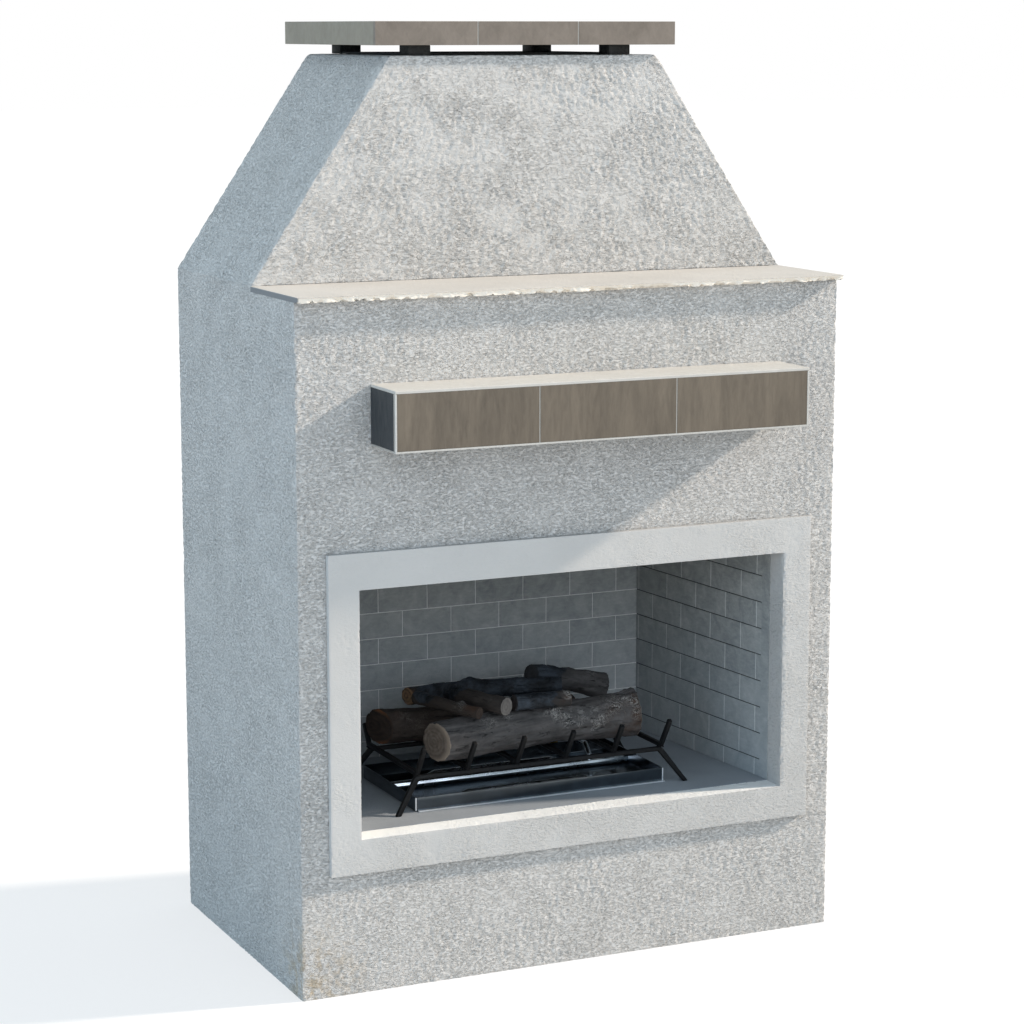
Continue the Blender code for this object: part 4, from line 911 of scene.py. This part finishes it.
finish_nodes(galvanised, "front_left_stud", "front_right_stud", "rear_left_stud", "rear_right_stud",
             "opening_header", "hearth_platform")
finish_nodes(flue_black, "smoke_dome", "flue_duct")
finish_nodes(board_grey, "base_panel", "mantel_core", "cap_core")
finish_nodes(hearth_grey, "hearth_slab")
finish_nodes(black_pipe, "gas_riser")
finish_nodes(brass, "gas_valve", "gas_valve_lever")
print("metals and cement finished")

# %% Bars, rails and posts with broken edges
FLAT_ANGLE, SHARP_ANGLE = 0.001, 0.6


def merged_copy(name):
    """A CAD node's mesh with its loose triangles merged."""
    bm = bmesh.new()
    bm.from_mesh(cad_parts[name].data)
    bmesh.ops.remove_doubles(bm, verts=bm.verts, dist=1e-5)
    return bm


def soften(name, new_name, finish, width):
    """A CAD node again, with its edges bevelled."""
    bm = merged_copy(name)
    folds = [edge for edge in bm.edges if len(edge.link_faces) == 2]
    flat = [edge for edge in folds if edge.calc_face_angle() < FLAT_ANGLE]
    bmesh.ops.dissolve_edges(bm, edges=flat, use_verts=False)
    folds = [edge for edge in bm.edges if len(edge.link_faces) == 2]
    bevel(bm, [edge for edge in folds if edge.calc_face_angle() > SHARP_ANGLE], width, 2, clamp_overlap=True)
    make_piece(new_name, bm, finish, [name], sharp=35.0)


for number in range(1, 7):
    soften("grate_bar_%d" % number, "bar_%d_iron" % number, grate_iron, 0.0014)
for rail in ("front_rail", "rear_rail"):
    soften("grate_" + rail, rail + "_iron", grate_iron, 0.0014)
for post in ("front_left", "front_right", "rear_left", "rear_right"):
    soften("cap_post_" + post, post + "_post_steel", flue_black, 0.0012)
soften("burner_tube", "burner_tube_steel", stainless_and_rib_sheen, 0.0008)

# %% Burner pan
WALL, FLANGE, FOLD, LIP_BEVEL = 0.002, 0.006, 0.0035, 0.0006
SEAM_WIDTH, SEAM_PROUD, SEAM_BEVEL = 0.003, 0.0006, 0.0007
low, high = corners("burner_pan")
front_y, right_x = low.y + FLANGE, high.x - WALL
bm = bmesh.new()
add_bar(bm, (low.x, front_y, low.z), (right_x, high.y, high.z))
lid = [face for face in bm.faces if face.normal.z > 0.9]
bmesh.ops.delete(bm, geom=lid, context="FACES")
bevel(bm, [edge for edge in bm.edges if not edge.is_boundary], FOLD, 3)
bmesh.ops.recalc_face_normals(bm, faces=bm.faces)
bmesh.ops.solidify(bm, geom=bm.faces[:], thickness=WALL)
make_piece("folded_pan", bm, pan_steel, ["burner_pan"], sharp=35.0)
bm = bmesh.new()
add_bar(bm, (low.x + FLANGE, low.y, low.z), (high.x, front_y + WALL / 2, low.z + WALL), LIP_BEVEL)
for x in (low.x, right_x - SEAM_WIDTH):
    seam_low, seam_high = (x, front_y - SEAM_PROUD, low.z + WALL), (x + SEAM_WIDTH, front_y + WALL, high.z)
    add_bar(bm, seam_low, seam_high, SEAM_BEVEL)
make_piece("pan_lip_and_seams", bm, pan_edge_highlight, sharp=35.0)

# %% Pressed ribs
# the ribs are pressed from the dark pan but take the pale steel as painted highlights
RIB_LENGTH, RIB_WIDTH, RIB_HEIGHT = 0.335, 0.024, 0.011
RIB_TAPER, RIB_SUNK, RIB_UNDER = 0.16, 0.0002, 0.0006


def press_rib(bm, y, floor):
    """A half-round ridge whose ends run out to points."""
    middle = (low.x + right_x) / 2
    made = bmesh.ops.create_grid(bm, x_segments=48, y_segments=10, size=0.5)["verts"]
    for vertex in made:
        along, across = 2 * vertex.co.x, 2 * vertex.co.y
        narrow = min(1.0, (1.001 - abs(along)) / RIB_TAPER)
        rise = narrow * RIB_HEIGHT * math.cos(across * math.pi / 2)
        vertex.co = Vector((middle + along * RIB_LENGTH / 2, y + across * narrow * RIB_WIDTH / 2, floor + rise))


bm = bmesh.new()
for share in (0.26, 0.86):
    press_rib(bm, front_y + share * (high.y - front_y), low.z + WALL - RIB_SUNK)
rim = give_depth(bm, Vector((0, 0, -RIB_UNDER)))
bmesh.ops.holes_fill(bm, edges=rim, sides=0)
make_piece("pan_ribs", bm, stainless_and_rib_sheen, sharp=60.0)

# %% Weld beads on the grate
BEAD_START, BEAD_PITCH = 0.0022, 0.0028
BEAD_SIZE = Matrix.Diagonal((0.0017, 0.0021, 0.0019, 1))
bm = bmesh.new()
for number in range(1, 7):
    bar_low, bar_high = corners("grate_bar_%d" % number)
    for rail, inward in (("grate_front_rail", -1), ("grate_rear_rail", 1)):
        rail_low, rail_high = corners(rail)
        near_y = rail_high.y if inward < 0 else rail_low.y
        for x in (bar_low.x, bar_high.x):
            for step in range(4):
                centre = Vector((x, near_y + inward * (BEAD_START + BEAD_PITCH * step), rail_high.z))
                place = Matrix.Translation(centre) @ BEAD_SIZE
                bmesh.ops.create_icosphere(bm, subdivisions=2, radius=1.0, matrix=place)
make_piece("grate_weld_beads", bm, grate_iron, turn_out=False)

# %% [markdown]
# ## Logs
# The logs are cast in refractory cement and painted: bark with flecks of ash on some, charcoal on
# others, and pale sawn ends. Each CAD log is merged and remeshed finely. Then every point learns
# its place along and around its own log, so that grain, bark and burls follow the wood.

# %% Fine copy of a log and its axes
def fine_mesh(name, voxel):
    """The node's mesh rebuilt from small even faces."""
    holder = mesh_object(name + "_coarse", merged_copy(name))
    remesh = holder.modifiers.new("remesh", "REMESH")
    remesh.mode, remesh.voxel_size = "VOXEL", voxel
    shown = holder.evaluated_get(bpy.context.evaluated_depsgraph_get())
    bm = bmesh.new()
    bm.from_mesh(bpy.data.meshes.new_from_object(shown))
    bpy.data.objects.remove(holder)
    return bm


def log_axes(bm):
    """Start, direction, side and up of a log: from its left end, or from its front end."""
    points = [vertex.co.copy() for vertex in bm.verts]
    spread = [max(p[axis] for p in points) - min(p[axis] for p in points) for axis in (0, 1)]
    direction = Vector((1, 0, 0)) if spread[0] > spread[1] else Vector((0, 1, 0))
    for _ in range(4):
        points.sort(key=lambda point: point.dot(direction))
        count = len(points) // 8
        ends = [sum(group, Vector()) / count for group in (points[:count], points[-count:])]
        direction = (ends[1] - ends[0]).normalized()
    side = direction.cross(Vector((0, 0, 1))).normalized()
    return ends[0], direction, side, side.cross(direction)


print("log helpers ready")


# %% Log finish
def log_finish(name, bark, bark_dark, end_light, end_dark, rim_colour):
    """Bark, charcoal, ash flecks and sawn ends, mixed by what each point knows of its log."""
    finish, mat = start_finish(name, roughness=0.85, specular=0.3)
    grain = mat.node("Attribute", {"attribute_name": "grain"}).outputs["Vector"]
    char, ash, cut, rust, around = (mat.mark(key) for key in ("char", "ash", "cut", "rust", "round"))
    along = mat.node("Mapping", Vector=grain, Scale=(0.22, 1, 1)).outputs[0]
    strands = mat.cloud(along, 70.0, 5.0, 0.65, 0.6)
    blotch = mat.cloud(grain, 28.0, 4.0, 0.6, 0.4)
    flecks = mat.cloud(along, 190.0, 3.0, 0.7, 1.5)
    mixed = mat.scaled(mat.span(strands, 0.35, 0.65), 0.6, mat.span(blotch, 0.35, 0.65, 0.0, 0.4))
    colour = mat.blend(mixed, bark, bark_dark)
    rusty = mat.times(rust, mat.span(blotch, 0.35, 0.65))
    colour = mat.blend(rusty, colour, (0.055, 0.032, 0.022))
    net = mat.math("SUBTRACT", mat.cloud(grain, 105.0, 4.0, 0.7, 1.2), 0.5)
    thread = mat.span(mat.math("ABSOLUTE", net), 0.050, 0.008)
    lie = mat.times(mat.span(ash, 0.15, 0.9), mat.span(blotch, 0.42, 0.62))
    colour = mat.blend(mat.times(thread, lie), colour, (0.42, 0.41, 0.39))
    splits = mat.span(mat.cloud(along, 120.0, 3.0, 0.6, 0.8), 0.42, 0.30)
    colour = mat.blend(splits, colour, darken(bark_dark, 0.35))
    coal = mat.blend(mat.span(blotch, 0.4, 0.7), (0.009, 0.011, 0.014), (0.046, 0.058, 0.074))
    colour = mat.blend(char, colour, coal)
    rings = mat.math("SINE", mat.scaled(around, 34.0, mat.times(blotch, 8.0)))
    rings = mat.scaled(mat.span(rings, -1.0, 1.0), 0.35, mat.span(strands, 0.35, 0.65, 0.0, 0.6))
    end_colour = mat.blend(rings, end_light, end_dark)
    end_colour = mat.blend(mat.span(around, 0.72, 0.92), end_colour, rim_colour)
    colour = mat.blend(cut, colour, end_colour)
    relief = mat.math("ADD", strands, flecks)
    mat.end(colour, relief, 0.0012, mat.span(char, 0.0, 1.0, 0.88, 0.62))
    return finish


brown_bark = log_finish("brown_grey_bark", (0.105, 0.099, 0.098), (0.042, 0.041, 0.042),
                        (0.155, 0.130, 0.110), (0.070, 0.058, 0.049), (0.24, 0.20, 0.165))
rust_bark = log_finish("reddish_bark", (0.050, 0.040, 0.034), (0.020, 0.017, 0.016),
                       (0.050, 0.034, 0.026), (0.020, 0.015, 0.013), (0.26, 0.105, 0.040))
pale_bark = log_finish("cross_log_bark", (0.060, 0.050, 0.045), (0.022, 0.019, 0.018),
                       (0.20, 0.185, 0.17), (0.10, 0.09, 0.085), (0.36, 0.28, 0.22))
coal_bark = log_finish("charred_bark", (0.050, 0.046, 0.044), (0.018, 0.018, 0.019),
                       (0.30, 0.19, 0.11), (0.07, 0.045, 0.03), (0.36, 0.21, 0.12))
print("log finishes ready")

# %% [markdown]
# ### Carving
# A log's marks are spots. Each spot is a share of the log's length, an angle round it in degrees, a
# size in metres and a strength. A notch is a share, an angle, a width and a depth.

# %% Spots on a log
def turn_between(angle, degrees):
    """The signed turn in radians from a direction in degrees to an angle."""
    return (angle - math.radians(degrees) + math.pi) % (2 * math.pi) - math.pi


def on_spot(along, angle, radius, length, spots):
    """How strongly a point lies on any of a log's spots."""
    most = 0.0
    for share, degrees, size, strength in spots:
        away = math.hypot(along - share * length, turn_between(angle, degrees) * radius)
        most = max(most, strength * fade(away, size, 0.0))
    return most


def centre_line(places, first, length):
    """The middle of each slice of a log, in its own axes."""
    sums = [[Vector(), 0] for _ in range(SLICES)]
    for place in places:
        piece = sums[min(int((place.x - first) / length * SLICES), SLICES - 1)]
        piece[0] += place
        piece[1] += 1
    return [total / max(count, 1) for total, count in sums]


SLICES, END_RADIUS = 20, 0.045
MARKS = ("char", "ash", "cut", "rust", "round")
print("marks", MARKS)


# %% Carve a log
def carve_log(name, new_name, finish, voxel, relief, char=(), ash=(), burls=(), rust=(), notches=()):
    """Give one log its bark relief, burls, cracks and marks."""
    bm = fine_mesh(name, voxel)
    start, direction, side, up = log_axes(bm)
    bm.normal_update()
    grain = bm.verts.layers.float_vector.new("grain")
    layers = {key: bm.verts.layers.float.new(key) for key in MARKS}
    local = {v: Vector(((v.co - start).dot(direction), (v.co - start).dot(side), (v.co - start).dot(up)))
             for v in bm.verts}
    first, last = min(p.x for p in local.values()), max(p.x for p in local.values())
    length = last - first
    middles = centre_line(local.values(), first, length)
    seed = Vector((sum(ord(letter) for letter in name) * 0.37, 0, 0))
    moves = {}
    for vertex, place in local.items():
        along = place.x - first
        slice_at = min(max(along / length * SLICES - 0.5, 0), SLICES - 1.001)
        lower, part = int(slice_at), slice_at - int(slice_at)
        middle = middles[lower].lerp(middles[lower + 1], part)
        out = Vector((0, place.y - middle.y, place.z - middle.z))
        radius, angle = max(out.length, 1e-4), math.atan2(out.z, out.y)
        at_end = fade(abs(along - length / 2) / length, 0.40, 0.46)
        cut = fade(abs(vertex.normal.dot(direction)), 0.72, 0.90) * at_end
        spot = Vector((along, out.y, out.z)) + seed
        strands = noise_at(spot.x * 16, out.y * 85, out.z * 85)
        lumps = noise.noise(spot * 26)
        crumbs = noise.noise(spot * 120)
        coal = on_spot(along, angle, radius, length, char)
        coal = fade(coal + 0.25 * lumps + 0.15 * crumbs, 0.35, 0.55)
        bump = on_spot(along, angle, radius, length, burls)
        gaps = noise.voronoi(Vector((spot.x * 55, out.y * 95, out.z * 95)))[0]
        crack = fade(gaps[1] - gaps[0], 0.16, 0.02) * (0.2 + 0.8 * coal)
        sink = relief * (0.9 * fade(strands, 0.05, -0.4) + 1.1 * (0.5 - lumps) + 0.35 * crumbs)
        sink += 0.0016 * crack * (1 - cut)
        sink -= 0.009 * bump * (0.75 + 0.5 * crumbs + 0.4 * lumps)
        for share, degrees, width, depth in notches:
            turn = abs(turn_between(angle, degrees))
            sink += depth * fade(abs(along - share * length), width, 0) * fade(turn, 1.3, 0.2)
        moves[vertex] = vertex.normal * -(sink * (1 - cut) + cut * 0.0008 * (0.5 + crumbs))
        vertex[grain] = spot
        vertex[layers["char"]] = coal
        vertex[layers["ash"]] = on_spot(along, angle, radius, length, ash)
        vertex[layers["cut"]] = cut * (1 - 0.85 * coal)
        vertex[layers["rust"]] = on_spot(along, angle, radius, length, rust)
        vertex[layers["round"]] = min(radius / END_RADIUS, 1.2)
    for vertex, move in moves.items():
        vertex.co += move
    make_piece(new_name, bm, finish, [name], sharp=70.0, turn_out=False)


print("slices of a log:", SLICES)

# %% The seven logs
carve_log("front_log", "front_log_bark", brown_bark, 0.0023, 0.0024,
          ash=[(0.30, 80, 0.10, 0.7), (0.58, 70, 0.06, 1.3), (0.66, 20, 0.05, 1.5), (0.75, 10, 0.05, 1.2),
               (0.90, 50, 0.08, 1.0)],
          burls=[(0.60, 55, 0.034, 0.9), (0.67, 5, 0.026, 0.8), (0.75, 15, 0.030, 0.9), (0.93, 60, 0.035, 0.9),
                 (0.52, 80, 0.02, 0.7), (0.97, 85, 0.045, 1.1)],
          rust=[(0.95, 20, 0.12, 1.0)], notches=[(0.84, 20, 0.018, 0.003)])
carve_log("rear_log", "rear_log_bark", rust_bark, 0.0023, 0.0016,
          char=[(0.75, 90, 0.16, 1.0)], ash=[(0.2, 30, 0.1, 0.3)], burls=[(0.12, 60, 0.018, 0.6)],
          rust=[(0.0, 60, 0.14, 0.6), (0.25, 30, 0.12, 0.4)])
carve_log("charred_branch", "charred_branch_coal", coal_bark, 0.0018, 0.0016,
          char=[(0.35, 0, 0.12, 1.6), (0.6, 90, 0.14, 1.6), (0.5, -90, 0.2, 1.6), (0.9, 0, 0.14, 1.6),
                (0.3, 150, 0.14, 1.6)],
          burls=[(0.42, 80, 0.03, 0.9), (0.72, 60, 0.03, 0.8)], rust=[(0.03, 20, 0.06, 1.5)],
          notches=[(0.6, 30, 0.02, 0.004)])
carve_log("short_top_log", "short_log_coal", coal_bark, 0.0016, 0.0012,
          char=[(0.2, 0, 0.09, 1.6), (0.3, 120, 0.10, 1.6), (0.3, -120, 0.10, 1.6)],
          ash=[(0.95, 60, 0.03, 1.2)], burls=[(0.85, 60, 0.015, 0.5)], rust=[(0.85, 0, 0.04, 0.8)])
carve_log("right_top_log", "right_top_log_coal", brown_bark, 0.0022, 0.0018,
          char=[(0.05, 0, 0.09, 1.6), (0.1, 120, 0.11, 1.6), (0.1, -120, 0.10, 1.6)],
          ash=[(0.7, 60, 0.05, 0.4)], burls=[(0.75, 50, 0.04, 0.7)], notches=[(0.42, 70, 0.02, 0.005)])
carve_log("left_cross_twig", "left_twig_bark", rust_bark, 0.0016, 0.0011,
          char=[(0.85, 90, 0.06, 1.0)], ash=[(0.3, 90, 0.05, 0.5)], burls=[(0.3, 60, 0.014, 0.5)],
          rust=[(0.1, 90, 0.04, 1.3)])
carve_log("middle_cross_log", "middle_cross_bark", pale_bark, 0.0016, 0.0011,
          char=[(0.9, 90, 0.08, 1.2)], ash=[(0.2, 90, 0.04, 0.4)])
